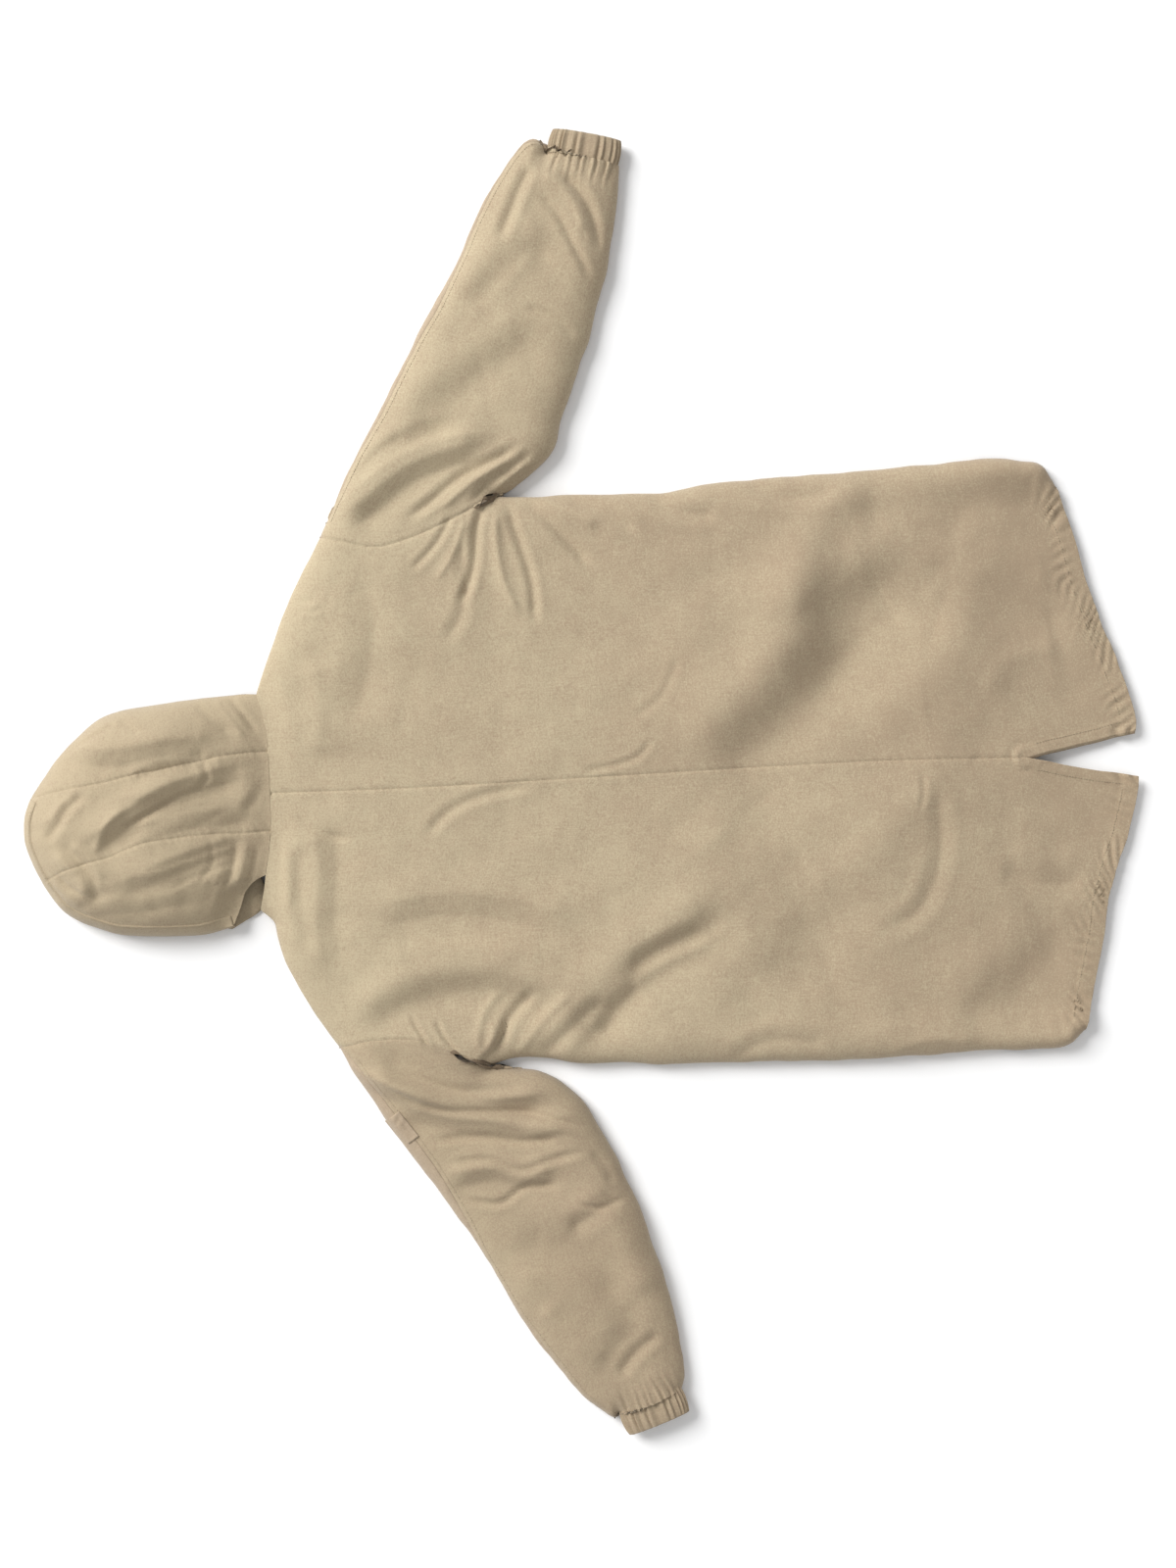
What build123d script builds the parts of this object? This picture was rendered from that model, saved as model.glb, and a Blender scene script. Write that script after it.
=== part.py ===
from build123d import *
import os
from math import cos, hypot, radians, sin

# A hooded, lightly padded coat that lies on its front with its back up.
# +Y runs up the centre back seam to the hood, +X is the wearer's right, and +Z is up
# from the floor. The origin is on the floor, halfway between tail and crown.
# All lengths are in millimetres.

# ---------------------------------------------------------------- cloth layers
shell = 4.5  # padded outer shell, one layer
lining = 1.0  # inner lining, one layer
facing = 1.0  # turned hems and facings
gap = 1.0  # room between two bodies that swing
layer_clear = 0.3  # room between layers that only lie beside each other

# ---------------------------------------------------------------- torso
seam_x = -4.0  # centre back seam
back_length = 996.0  # neck seam to the lowest point of the tail
neck_y = 358.0  # neck seam
neck_right = 140.0
neck_left = -172.0
neck_height = 18.0
shoulder_right = (286.0, 287.0)
shoulder_left = (-299.0, 293.0)
armhole_right = 208.0  # straight depth of the armhole
armhole_left = 190.0
chest_right = 324.0  # half widths at the armpit and at the hem
chest_left = 325.0
hem_right = 338.0
hem_left = 341.0
tail_rise = 86.0  # the hem climbs this much from the tail to the side seams
tail_half_gap = 26.0  # half width of the vent at the tail
vent_depth = 130.0
corner_radius = 24.0
crown = 42.0  # height of the back over the floor
front_rise = 168.0  # the front hem stops this much above the tail
hem_band = 18.0
vent_band = 22.0

# ---------------------------------------------------------------- sleeves
# Sleeve sizes run along the sleeve from the middle of its armhole, and across it.
sleeve_turn = {"right": -28.0, "left": -30.0}  # how far each sleeve hangs below level
sleeve_reach = {"right": 482.0, "left": 504.0}  # armhole middle to the end of the cuff
sleeve_drop = {"right": 5.0, "left": 2.0}  # how far each sleeve can swing down, degrees
sleeve_top = 84.0
sleeve_under = 120.0
sleeve_elbow = 105.0
sleeve_crown = 36.0
cuff_width = 94.0
cuff_length = 29.0
cuff_height = 22.0
cuff_wall = 3.0
cuff_turn = 14.0  # the cuff turns back up against the sleeve
elastic = 1.4
elastic_margin = 3.0
seam_allowance = 3.0
front_strip = 13.0  # strip of the sleeve's front panel that shows on its back
tab_length = 27.0
tab_width = 15.0
tab_thick = 1.2

# ---------------------------------------------------------------- hood
hood_right = 110.0
hood_left = -161.0
hood_length = 281.0  # neck seam to crown
hood_height = 70.0
hood_neck_height = 27.0
hood_hem = 18.0
hood_strip_neck = (-42.0, 45.0)  # centre strip at the neck and at the crown
hood_strip_crown = (-88.0, 0.0)

# ---------------------------------------------------------------- zip
zip_gap = 9.0  # half the gap between the front edges
tape_reach = 22.0
tape = 0.8
teeth_half = 0.8  # half the slot that the slider's bridge runs in
teeth_width = 2.6
teeth_height = 3.2
slider_length = 11.0
slider_half = 5.2
slider_plate = 0.9
slider_clear = 0.4
pull_length = 30.0
pull_width = 6.0
pull_thick = 1.0
pin_radius = 0.35
pin_clear = 0.05

# ---------------------------------------------------------------- pockets and loop
pocket_x = 215.0
pocket_y = -150.0
pocket_size = (150.0, 200.0, 7.0)
pocket_wall = 1.0
pocket_corner = 10.0
pocket_mouth = (20.0, 160.0)
welt_width = 14.0
welt_thick = 2.5
loop_half = 30.0
loop_drop = 24.0
loop_strap = 7.0
loop_thick = 1.6
binding_depth = 9.0

# ---------------------------------------------------------------- places from the sizes
tail_y = neck_y - back_length
side_hem_y = tail_y + tail_rise
front_hem_y = tail_y + front_rise
vent_top = (seam_x, tail_y + vent_depth)
vent_right = (seam_x + tail_half_gap, tail_y)
vent_left = (seam_x - tail_half_gap, tail_y)
edge = 2 * shell  # two layers meet at every closed seam
tall = 200.0  # taller than anything, for cutting

os.makedirs("parts", exist_ok=True)


def armpit(shoulder, chest, depth, side):
    """Foot of the armhole, straight below and outside the shoulder point."""
    across = chest - abs(shoulder[0])
    down = (depth**2 - across**2) ** 0.5
    return (side * chest, shoulder[1] - down)


armpits = {
    "right": armpit(shoulder_right, chest_right, armhole_right, 1),
    "left": armpit(shoulder_left, chest_left, armhole_left, -1),
}
shoulders = {"right": shoulder_right, "left": shoulder_left}
signs = {"right": 1, "left": -1}


def middle(p, q):
    """Point halfway between two points of the plan."""
    return ((p[0] + q[0]) / 2, (p[1] + q[1]) / 2)


pivots = {side: middle(shoulders[side], armpits[side]) for side in signs}
armhole_radius = {
    side: hypot(shoulders[side][0] - pivots[side][0], shoulders[side][1] - pivots[side][1])
    for side in signs
}


def ramp(p, q, height, slope, inside):
    """Plane over the line from p to q that climbs towards the point inside."""
    along = Vector(q[0] - p[0], q[1] - p[1]).normalized()
    inward = Vector(-along.Y, along.X)
    if inward.dot(Vector(inside[0] - p[0], inside[1] - p[1])) < 0:
        inward = inward * -1
    up = Vector(-slope * inward.X, -slope * inward.Y, 1)
    return Plane(origin=(p[0], p[1], height), x_dir=(along.X, along.Y, 0), z_dir=up)


def prism(points, low, high):
    """Straight block over a closed outline."""
    with BuildPart() as block:
        with BuildSketch(Plane.XY.offset(low)):
            with BuildLine():
                Polyline(*points, close=True)
            make_face()
        extrude(amount=high - low)
    return block.part


def layer(block, depth, thickness):
    """Cloth of the given thickness that starts depth below the top of a block."""
    with BuildPart() as cloth:
        add(block.moved(Location((0, 0, -depth))))
        add(block.moved(Location((0, 0, -depth - thickness))), mode=Mode.SUBTRACT)
    return cloth.part


def slab(block, low, high):
    """Part of a block between two heights."""
    with BuildPart() as part:
        add(block)
        split(bisect_by=Plane.XY.offset(high), keep=Keep.BOTTOM)
        split(bisect_by=Plane.XY.offset(low), keep=Keep.TOP)
    return part.part


def finish(name, piece):
    """Label a finished piece and write its STEP file."""
    piece.label = name
    export_step(piece, f"parts/{name}.step")


def sleeve_point(side, along, across):
    """Plan point at a place along and across one sleeve."""
    turn = radians(sleeve_turn[side])
    pivot = pivots[side]
    x = along * cos(turn) - across * sin(turn)
    y = along * sin(turn) + across * cos(turn)
    return (pivot[0] + signs[side] * x, pivot[1] + y)


def cuff_corner(side, back, across):
    """Plan point on the cuff, back from its end and across it, in sleeve sizes."""
    turn = radians(cuff_turn)
    along = sleeve_reach[side] - back * cos(turn) - across * sin(turn)
    return sleeve_point(side, along, -back * sin(turn) + across * cos(turn))


def sleeve_outline(side):
    """Top edge, cuff seam and underarm of one sleeve, from shoulder to armpit."""
    reach = sleeve_reach[side]
    return [
        shoulders[side],
        sleeve_point(side, 0.17 * reach, sleeve_top * 0.9),
        sleeve_point(side, 0.72 * reach, sleeve_top * 0.83),
        sleeve_point(side, 0.88 * reach, sleeve_top * 0.72),
        cuff_corner(side, cuff_length, cuff_width / 2),
        cuff_corner(side, cuff_length, -cuff_width / 2),
        sleeve_point(side, 0.88 * reach, -0.62 * sleeve_under),
        sleeve_point(side, 0.61 * reach, -sleeve_elbow),
        sleeve_point(side, 0.38 * reach, -sleeve_under),
        sleeve_point(side, 0.29 * reach, -sleeve_under),
        sleeve_point(side, 0.21 * reach, -0.90 * sleeve_under),
        armpits[side],
    ]


# ================================================================ torso
hem_corner_right = (hem_right, side_hem_y)
hem_corner_left = (-hem_left, side_hem_y)
neck_corner_right = (neck_right, neck_y)
neck_corner_left = (neck_left, neck_y)
middle_back = (seam_x, 0.0)
torso_outline = [
    vent_right,
    hem_corner_right,
    armpits["right"],
    shoulder_right,
    neck_corner_right,
    neck_corner_left,
    shoulder_left,
    armpits["left"],
    hem_corner_left,
    vent_left,
]
hem_height = shell + facing
torso_ramps = [
    (hem_corner_right, armpits["right"], edge, 0.35),
    (hem_corner_left, armpits["left"], edge, 0.35),
    (shoulder_right, neck_corner_right, edge, 0.20),
    (shoulder_left, neck_corner_left, edge, 0.20),
    (neck_corner_right, neck_corner_left, neck_height, 0.22),
    (vent_right, hem_corner_right, hem_height, 0.20),
    (vent_left, hem_corner_left, hem_height, 0.20),
]


def torso_block():
    """Filled shape of the lying torso, from the floor to its arched back."""
    arch_half = max(hem_right, hem_left) + 10
    arch_edge = crown / 3
    with BuildPart() as block:
        with BuildSketch() as plan:
            with BuildLine():
                Polyline(*torso_outline, close=True)
            make_face()
            corners = [
                plan.vertices().sort_by_distance(corner)[0]
                for corner in (hem_corner_right, hem_corner_left)
            ]
            fillet(corners, corner_radius)
        extrude(amount=crown)
        with BuildSketch(Plane.XZ):
            with BuildLine():
                ThreePointArc((-arch_half, arch_edge), (0, crown), (arch_half, arch_edge))
                Polyline((arch_half, arch_edge), (arch_half, 0), (-arch_half, 0), (-arch_half, arch_edge))
            make_face()
        extrude(amount=back_length, both=True, mode=Mode.INTERSECT)
        for p, q, height, slope in torso_ramps:
            split(bisect_by=ramp(p, q, height, slope, middle_back), keep=Keep.BOTTOM)
    return block.part


def armhole_cut(side):
    """Cut for the sleeve: round about its pivot, and clear of it where it swings lowest."""
    drop = Rotation(0, 0, -signs[side] * sleeve_drop[side])
    pivot = Location((*pivots[side], 0))
    with BuildSketch() as lowest:
        with BuildLine():
            Polyline(*sleeve_outline(side), close=True)
        make_face()
        offset(amount=gap)
    with BuildPart() as cut:
        with Locations(pivot):
            Cylinder(armhole_radius[side] + gap, tall)
        add(lowest.sketch.moved(pivot.inverse()).moved(drop).moved(pivot))
        extrude(amount=tall / 2, both=True)
    return cut.part


torso = torso_block()
vent_cut = prism([vent_top, vent_left, (seam_x, tail_y - tall), vent_right], -tall, tall)
armhole_cuts = [armhole_cut(side) for side in signs]
front_room = Box(
    2 * tall + 2 * hem_left,
    neck_y - front_hem_y + 2 * tall,
    2 * shell,
    align=(Align.CENTER, Align.MIN, Align.CENTER),
).moved(Location((0, front_hem_y, 0)))
seam_plane = Plane.YZ.offset(seam_x)
halves = {"right": Keep.TOP, "left": Keep.BOTTOM}

for side, keep in halves.items():
    with BuildPart() as back_panel:
        add(layer(torso, 0, shell))
        add(front_room, mode=Mode.SUBTRACT)
        add(vent_cut, mode=Mode.SUBTRACT)
        add(armhole_cuts, mode=Mode.SUBTRACT)
        split(bisect_by=seam_plane, keep=keep)
    finish(f"back_panel_{side}", back_panel.part)


def band(p, q, width, inside):
    """Strip of the plan along the line from p to q, on the side of the point inside."""
    along = Vector(q[0] - p[0], q[1] - p[1]).normalized()
    inward = Vector(-along.Y, along.X)
    if inward.dot(Vector(inside[0] - p[0], inside[1] - p[1])) < 0:
        inward = inward * -1
    shift = inward * width
    far = [(q[0] + shift.X, q[1] + shift.Y), (p[0] + shift.X, p[1] + shift.Y)]
    return [p, q, *far]


# The turned hem and the vent facings lie against the inner face of the back's shell.
under_shell = layer(torso, shell, facing)
vent_ends = {"right": vent_right, "left": vent_left}
hem_corners = {"right": hem_corner_right, "left": hem_corner_left}
for side, keep in halves.items():
    hem_strip = prism(band(vent_ends[side], hem_corners[side], hem_band, middle_back), -tall, tall)
    side_room = signs[side] * (abs(hem_corners[side][0]) - corner_radius)
    side_cut = Plane.YZ.offset(side_room)
    with BuildPart() as hem_facing:
        add(under_shell)
        add(hem_strip, mode=Mode.INTERSECT)
        add(vent_cut, mode=Mode.SUBTRACT)
        split(bisect_by=side_cut, keep=Keep.BOTTOM if side == "right" else Keep.TOP)
    finish(f"back_hem_facing_{side}", hem_facing.part)

    outer = (hem_corners[side][0], vent_top[1])
    vent_strip = prism(band(vent_top, vent_ends[side], vent_band, outer), -tall, tall)
    with BuildPart() as vent_facing:
        add(under_shell)
        add(vent_strip, mode=Mode.INTERSECT)
        add(vent_cut, mode=Mode.SUBTRACT)
        add(hem_strip, mode=Mode.SUBTRACT)
        split(bisect_by=seam_plane, keep=keep)
    finish(f"vent_facing_{side}", vent_facing.part)

# The back lining stops above the vent and below the neck binding.
lining_foot = vent_top[1] + hem_band
lining_head = neck_y - binding_depth - layer_clear
lining_room = prism(
    [
        (-hem_left - tall, lining_foot),
        (hem_right + tall, lining_foot),
        (hem_right + tall, lining_head),
        (-hem_left - tall, lining_head),
    ],
    edge,
    tall,
)
with BuildPart() as back_lining:
    add(layer(torso, shell, lining))
    add(lining_room, mode=Mode.INTERSECT)
    add(armhole_cuts, mode=Mode.SUBTRACT)
finish("back_lining", back_lining.part)

# ---------------------------------------------------------------- neck binding and hanger loop
binding_room = prism(
    [
        (neck_left + 2 * binding_depth, neck_y - binding_depth),
        (neck_right - 2 * binding_depth, neck_y - binding_depth),
        (neck_right - 2 * binding_depth, neck_y),
        (neck_left + 2 * binding_depth, neck_y),
    ],
    edge,
    tall,
)
with BuildPart() as neck_binding:
    add(layer(torso, shell, facing))
    add(binding_room, mode=Mode.INTERSECT)
finish("neck_binding", neck_binding.part)

loop_top = neck_y - binding_depth / 2
loop_low = neck_height - shell - facing - loop_thick
with BuildPart() as hanger_loop:
    with BuildSketch(Plane.XY.offset(loop_low)):
        with BuildLine():
            FilletPolyline(
                (seam_x - loop_half, loop_top),
                (seam_x - loop_half, loop_top - loop_drop),
                (seam_x + loop_half, loop_top - loop_drop),
                (seam_x + loop_half, loop_top),
                radius=loop_drop / 2,
            )
        trace(line_width=loop_strap)
    extrude(amount=loop_thick)
    with Locations(
        (seam_x - loop_half, loop_top, loop_low), (seam_x + loop_half, loop_top, loop_low)
    ):
        Box(loop_strap, loop_strap, shell, align=(Align.CENTER, Align.CENTER, Align.MIN))
    add(torso, mode=Mode.INTERSECT)
    add(layer(torso, 0, shell + facing), mode=Mode.SUBTRACT)
finish("hanger_loop", hanger_loop.part)

# ================================================================ front
front_neck_drop = 78.0
front_top = neck_y - front_neck_drop
front_sides = {"right": hem_right, "left": -hem_left}


def front_outline(side):
    """Plan of one front, from its zip edge out to the side seam."""
    sign = signs[side]
    corner = hem_corners[side]
    pit = armpits[side]
    share = (front_hem_y - corner[1]) / (pit[1] - corner[1])
    side_x = corner[0] + share * (pit[0] - corner[0])
    zip_x = seam_x + sign * zip_gap
    neck_corner = neck_corner_right if side == "right" else neck_corner_left
    return [
        (zip_x, front_hem_y),
        (side_x, front_hem_y),
        pit,
        shoulders[side],
        neck_corner,
        (zip_x, neck_y),
    ]


def neck_cut():
    """Hollow of the front neckline, round below and open towards the hood."""
    with BuildPart() as cut:
        with Locations((seam_x, neck_y, 0)):
            Cylinder(front_neck_drop, tall)
    return cut.part


neck_hollow = neck_cut()
for side in signs:
    sign = signs[side]
    outline = front_outline(side)
    centre = (sign * pocket_x, pocket_y)
    mouth_x = centre[0]
    welt_x = mouth_x - sign * (pocket_mouth[0] - welt_width) / 2
    base = (Align.CENTER, Align.CENTER, Align.MIN)

    with BuildPart() as front_panel:
        add(prism(outline, 0, shell))
        add(neck_hollow, mode=Mode.SUBTRACT)
        add(armhole_cuts, mode=Mode.SUBTRACT)
        with Locations((mouth_x, pocket_y, 0)):
            Box(*pocket_mouth, shell, align=base, mode=Mode.SUBTRACT)
    finish(f"front_panel_{side}", front_panel.part)

    with BuildPart() as pocket_welt:
        with Locations((welt_x, pocket_y, shell - welt_thick)):
            Box(welt_width, pocket_mouth[1], welt_thick, align=base)
        upper = pocket_welt.edges().filter_by(Axis.Y).group_by(Axis.Z)[0]
        fillet(upper, welt_thick / 3)
    finish(f"pocket_welt_{side}", pocket_welt.part)

    with BuildPart() as pocket_bag:
        with Locations((*centre, shell)):
            Box(*pocket_size, align=base)
        fillet(pocket_bag.edges().filter_by(Axis.Z), pocket_corner)
        offset(amount=-pocket_wall, mode=Mode.SUBTRACT)
        with Locations((mouth_x, pocket_y, shell)):
            Box(*pocket_mouth, 2 * pocket_wall, align=base, mode=Mode.SUBTRACT)
    finish(f"pocket_bag_{side}", pocket_bag.part)

    zip_edge = seam_x + sign * (tape_reach + layer_clear)
    inner_side = [(zip_edge, y) if abs(x - seam_x) < tape_reach else (x, y) for x, y in outline]
    hem_line = front_hem_y + hem_band
    with BuildPart() as front_hem_facing:
        add(prism(inner_side, shell, shell + facing))
        split(bisect_by=Plane.XZ.offset(-hem_line), keep=Keep.TOP)
        split(bisect_by=Plane.YZ.offset(outline[1][0] - sign * corner_radius), keep=(
            Keep.BOTTOM if side == "right" else Keep.TOP))
    finish(f"front_hem_facing_{side}", front_hem_facing.part)

    with BuildPart() as front_lining:
        add(prism(inner_side, shell, shell + lining))
        split(bisect_by=Plane.XZ.offset(-hem_line - layer_clear), keep=Keep.BOTTOM)
        split(bisect_by=Plane.YZ.offset(sign * (chest_right - 3 * corner_radius / 2)), keep=(
            Keep.BOTTOM if side == "right" else Keep.TOP))
        with Locations((*centre, shell)):
            Box(
                pocket_size[0] + 2 * lining,
                pocket_size[1] + 2 * lining,
                pocket_size[2] + lining,
                align=base,
            )
            Box(*pocket_size, align=base, mode=Mode.SUBTRACT)
        add(neck_hollow, mode=Mode.SUBTRACT)
        add(armhole_cuts, mode=Mode.SUBTRACT)
        add(layer(torso, 0, shell), mode=Mode.SUBTRACT)
    finish(f"front_lining_{side}", front_lining.part)

# ================================================================ zip
tape_low = shell
teeth_mid = tape_low + tape / 2
zip_top = front_top - layer_clear
zip_foot = front_hem_y + layer_clear
stop_length = 5.0
box_length = 9.0
teeth_top = zip_top - stop_length - layer_clear
teeth_foot = zip_foot + box_length + layer_clear
tooth_edge = teeth_half + teeth_width


def zip_block(side, inner, outer, low_y, high_y, low_z, high_z):
    """Straight bar of one side of the zip, between two distances from its middle."""
    sign = signs[side]
    near, far = seam_x + sign * inner, seam_x + sign * outer
    return prism([(near, low_y), (far, low_y), (far, high_y), (near, high_y)], low_z, high_z)


teeth_low = teeth_mid - teeth_height / 2
teeth_high = teeth_mid + teeth_height / 2
for side in signs:
    with BuildPart() as zip_tape:
        add(zip_block(side, tooth_edge, tape_reach, zip_foot, zip_top, tape_low, tape_low + tape))
    finish(f"zip_tape_{side}", zip_tape.part)

    with BuildPart() as zip_teeth:
        add(zip_block(side, teeth_half, tooth_edge, teeth_foot, teeth_top, teeth_low, teeth_high))
    finish(f"zip_teeth_{side}", zip_teeth.part)

with BuildPart() as zip_top_stops:
    for side in signs:
        add(zip_block(side, teeth_half, tooth_edge, zip_top - stop_length, zip_top, teeth_low, teeth_high))
finish("zip_top_stops", zip_top_stops.part)

with BuildPart() as zip_box:
    add(zip_block("left", -teeth_half + layer_clear, tooth_edge, zip_foot, zip_foot + box_length,
                  teeth_low, teeth_high))
finish("zip_box", zip_box.part)

with BuildPart() as zip_pin:
    add(zip_block("right", teeth_half, tooth_edge, zip_foot, zip_foot + box_length, teeth_low, teeth_high))
    fillet(zip_pin.edges().filter_by(Axis.Y), teeth_half)
finish("zip_pin", zip_pin.part)

# The slider is two plates joined by a bridge, with lips that hold the teeth together.
slider_y = teeth_top - slider_length / 2 - layer_clear
outer_low = teeth_low - slider_clear - slider_plate
inner_high = teeth_high + slider_clear + slider_plate
lip_half = (tooth_edge + slider_clear + slider_half) / 2
lip_width = slider_half - tooth_edge - slider_clear
pull_axis_z = outer_low - pin_clear - pull_thick
lug_half = pull_width / 4
bridge_half = teeth_half - slider_clear
with BuildPart() as zip_slider:
    with BuildSketch(Plane.XY.offset(outer_low)):
        with Locations((seam_x, slider_y)):
            RectangleRounded(2 * slider_half, slider_length, slider_half / 3)
    extrude(amount=slider_plate)
    with BuildSketch(Plane.XY.offset(inner_high - slider_plate)):
        with Locations((seam_x, slider_y)):
            RectangleRounded(2 * slider_half, slider_length, slider_half / 3)
    extrude(amount=slider_plate)
    plate_mid = (outer_low + inner_high) / 2
    with Locations((seam_x, slider_y, plate_mid)):
        Box(2 * bridge_half, slider_length / 3, inner_high - outer_low)
    lip_height = (inner_high - outer_low - tape) / 2 - slider_plate - slider_clear + slider_plate
    for sign in (-1, 1):
        with Locations((seam_x + sign * lip_half, slider_y, outer_low)):
            Box(lip_width, slider_length / 2, lip_height, align=base)
        with Locations((seam_x + sign * lip_half, slider_y, inner_high)):
            Box(lip_width, slider_length / 2, lip_height, align=(Align.CENTER, Align.CENTER, Align.MAX))
        with Locations((seam_x + sign * (lug_half + pull_thick / 2), slider_y, pull_axis_z - pull_thick / 2)):
            Box(pull_thick, 2 * pull_thick, outer_low - pull_axis_z + pull_thick / 2, align=base)
    with Locations(Location((seam_x, slider_y, pull_axis_z), (0, 90, 0))):
        Cylinder(pin_radius, 2 * lug_half + pull_thick)
finish("zip_slider", zip_slider.part)

with BuildPart() as zip_pull:
    with Locations(Location((seam_x, slider_y, pull_axis_z), (0, 90, 0))):
        Cylinder(pull_thick / 2 + pin_radius / 2, 2 * (lug_half - layer_clear))
    eye_half = lug_half - layer_clear
    tab_low = pull_axis_z - pull_thick / 2
    with BuildSketch(Plane.XY.offset(tab_low)):
        with Locations((seam_x, slider_y - pull_length / 6)):
            Rectangle(2 * eye_half, pull_length / 3)
        with Locations((seam_x, slider_y - pull_length * 2 / 3)):
            RectangleRounded(pull_width, pull_length * 2 / 3, pull_width / 3)
    extrude(amount=pull_thick)
    with Locations((seam_x, slider_y - pull_length * 5 / 6, tab_low)):
        Cylinder(pull_width / 4, pull_thick, align=base, mode=Mode.SUBTRACT)
    with Locations(Location((seam_x, slider_y, pull_axis_z), (0, 90, 0))):
        Cylinder(pin_radius + pin_clear, pull_width, mode=Mode.SUBTRACT)
finish("zip_pull", zip_pull.part)

# ================================================================ sleeves


def sleeve_ramps(side):
    """Edge lines that the sleeve's cloth climbs from, with their heights and slopes."""
    reach = sleeve_reach[side]
    outline = sleeve_outline(side)
    return [
        (outline[1], outline[2], edge, 0.50),
        (outline[2], outline[3], edge, 0.45),
        (outline[6], outline[7], edge, 0.45),
        (outline[7], outline[8], edge, 0.45),
        (outline[4], outline[5], cuff_height, 0.12),
    ]


def sleeve_block(side):
    """Filled shape of one sleeve, with the round root that turns in the armhole."""
    pivot = pivots[side]
    outline = sleeve_outline(side)
    root = (2 * pivot[0] - sleeve_point(side, armhole_radius[side], 0)[0], 0)
    chord = Vector(outline[-1][0] - outline[0][0], outline[-1][1] - outline[0][1]).normalized()
    inward = Vector(-signs[side] * abs(chord.Y), -chord.X * abs(chord.Y) / chord.Y)
    inner = Vector(*pivot) + inward.normalized() * armhole_radius[side]
    inside = sleeve_point(side, 0.3 * sleeve_reach[side], 0)
    with BuildPart() as block:
        with BuildSketch():
            with BuildLine():
                Polyline(*outline)
                ThreePointArc(outline[-1], (inner.X, inner.Y), outline[0])
            make_face()
        extrude(amount=sleeve_crown)
        for p, q, height, slope in sleeve_ramps(side):
            split(bisect_by=ramp(p, q, height, slope, inside), keep=Keep.BOTTOM)
    return block.part


def cuff_ring(side, inset, depth, margin):
    """Flattened tube of the cuff, as wide as its casing less the inset."""
    turn = radians(sleeve_turn[side] + cuff_turn)
    out = (signs[side] * cos(turn), sin(turn), 0)
    start = cuff_corner(side, cuff_length - margin, 0)
    width = cuff_width - 2 * inset
    height = cuff_height - 2 * inset
    plane = Plane(
        origin=(*start, cuff_height / 2), x_dir=(-sin(turn), signs[side] * cos(turn), 0), z_dir=out
    )
    with BuildPart() as ring:
        with BuildSketch(plane):
            SlotOverall(width, height)
            SlotOverall(width - 2 * depth, height - 2 * depth, mode=Mode.SUBTRACT)
        extrude(amount=cuff_length - 2 * margin)
    return ring.part


for side in signs:
    block = sleeve_block(side)
    outline = sleeve_outline(side)
    inside = sleeve_point(side, 0.3 * sleeve_reach[side], 0)
    strip = [
        outline[0],
        outline[1],
        outline[2],
        sleeve_point(side, 0.72 * sleeve_reach[side], sleeve_top * 0.83 - seam_allowance),
        sleeve_point(side, 0.17 * sleeve_reach[side], sleeve_top * 0.9 - front_strip),
    ]
    strip_block = prism(strip, shell, tall)
    allowance = [
        outline[1],
        outline[2],
        sleeve_point(side, 0.72 * sleeve_reach[side], sleeve_top * 0.83 - seam_allowance),
        sleeve_point(side, 0.17 * sleeve_reach[side], sleeve_top * 0.9 - seam_allowance),
    ]
    with BuildPart() as top_seam:
        add(block)
        add(prism(allowance, shell, tall), mode=Mode.INTERSECT)

    with BuildPart() as sleeve_back:
        add(layer(block, 0, shell))
        add(strip_block, mode=Mode.SUBTRACT)
        split(bisect_by=Plane.XY.offset(shell), keep=Keep.TOP)
    finish(f"sleeve_back_{side}", sleeve_back.part)

    # The front panel wraps round the top edge, so a strip of it shows on the back.
    with BuildPart() as sleeve_front:
        add(layer(block, 0, shell))
        add(strip_block, mode=Mode.INTERSECT)
        add(slab(block, -tall, shell))
        add(top_seam.part)
    finish(f"sleeve_front_{side}", sleeve_front.part)

    with BuildPart() as sleeve_lining:
        lining_low = shell + layer_clear
        add(layer(block, shell, lining))
        split(bisect_by=Plane.XY.offset(lining_low), keep=Keep.TOP)
        add(slab(block.moved(Location((0, 0, -shell))), lining_low, lining_low + lining))
        add(top_seam.part, mode=Mode.SUBTRACT)
    finish(f"sleeve_lining_{side}", sleeve_lining.part)

    with BuildPart() as cuff_casing:
        add(cuff_ring(side, 0, cuff_wall, 0))
        add(cuff_ring(side, cuff_wall - elastic, elastic, elastic_margin), mode=Mode.SUBTRACT)
    finish(f"cuff_casing_{side}", cuff_casing.part)

    with BuildPart() as cuff_elastic:
        add(cuff_ring(side, cuff_wall - elastic, elastic, elastic_margin))
    finish(f"cuff_elastic_{side}", cuff_elastic.part)

    if side == "left":
        tab_foot = 0.17 * sleeve_reach[side] + tab_length / 2
        tab_points = [
            sleeve_point(side, tab_foot, sleeve_top),
            sleeve_point(side, tab_foot + tab_length, sleeve_top),
            sleeve_point(side, tab_foot + tab_length, sleeve_top * 0.88 - tab_width),
            sleeve_point(side, tab_foot, sleeve_top * 0.88 - tab_width),
        ]
        with BuildPart() as sleeve_tab:
            add(block.moved(Location((0, 0, tab_thick))))
            add(block, mode=Mode.SUBTRACT)
            add(prism(tab_points, edge, tall), mode=Mode.INTERSECT)
        finish("sleeve_tab_left", sleeve_tab.part)

# ================================================================ hood
hood_foot = neck_y + 2 * gap
crown_y = neck_y + hood_length + 2
hood_mid = (hood_left + hood_right) / 2
hood_half = (hood_right - hood_left) / 2


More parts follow.
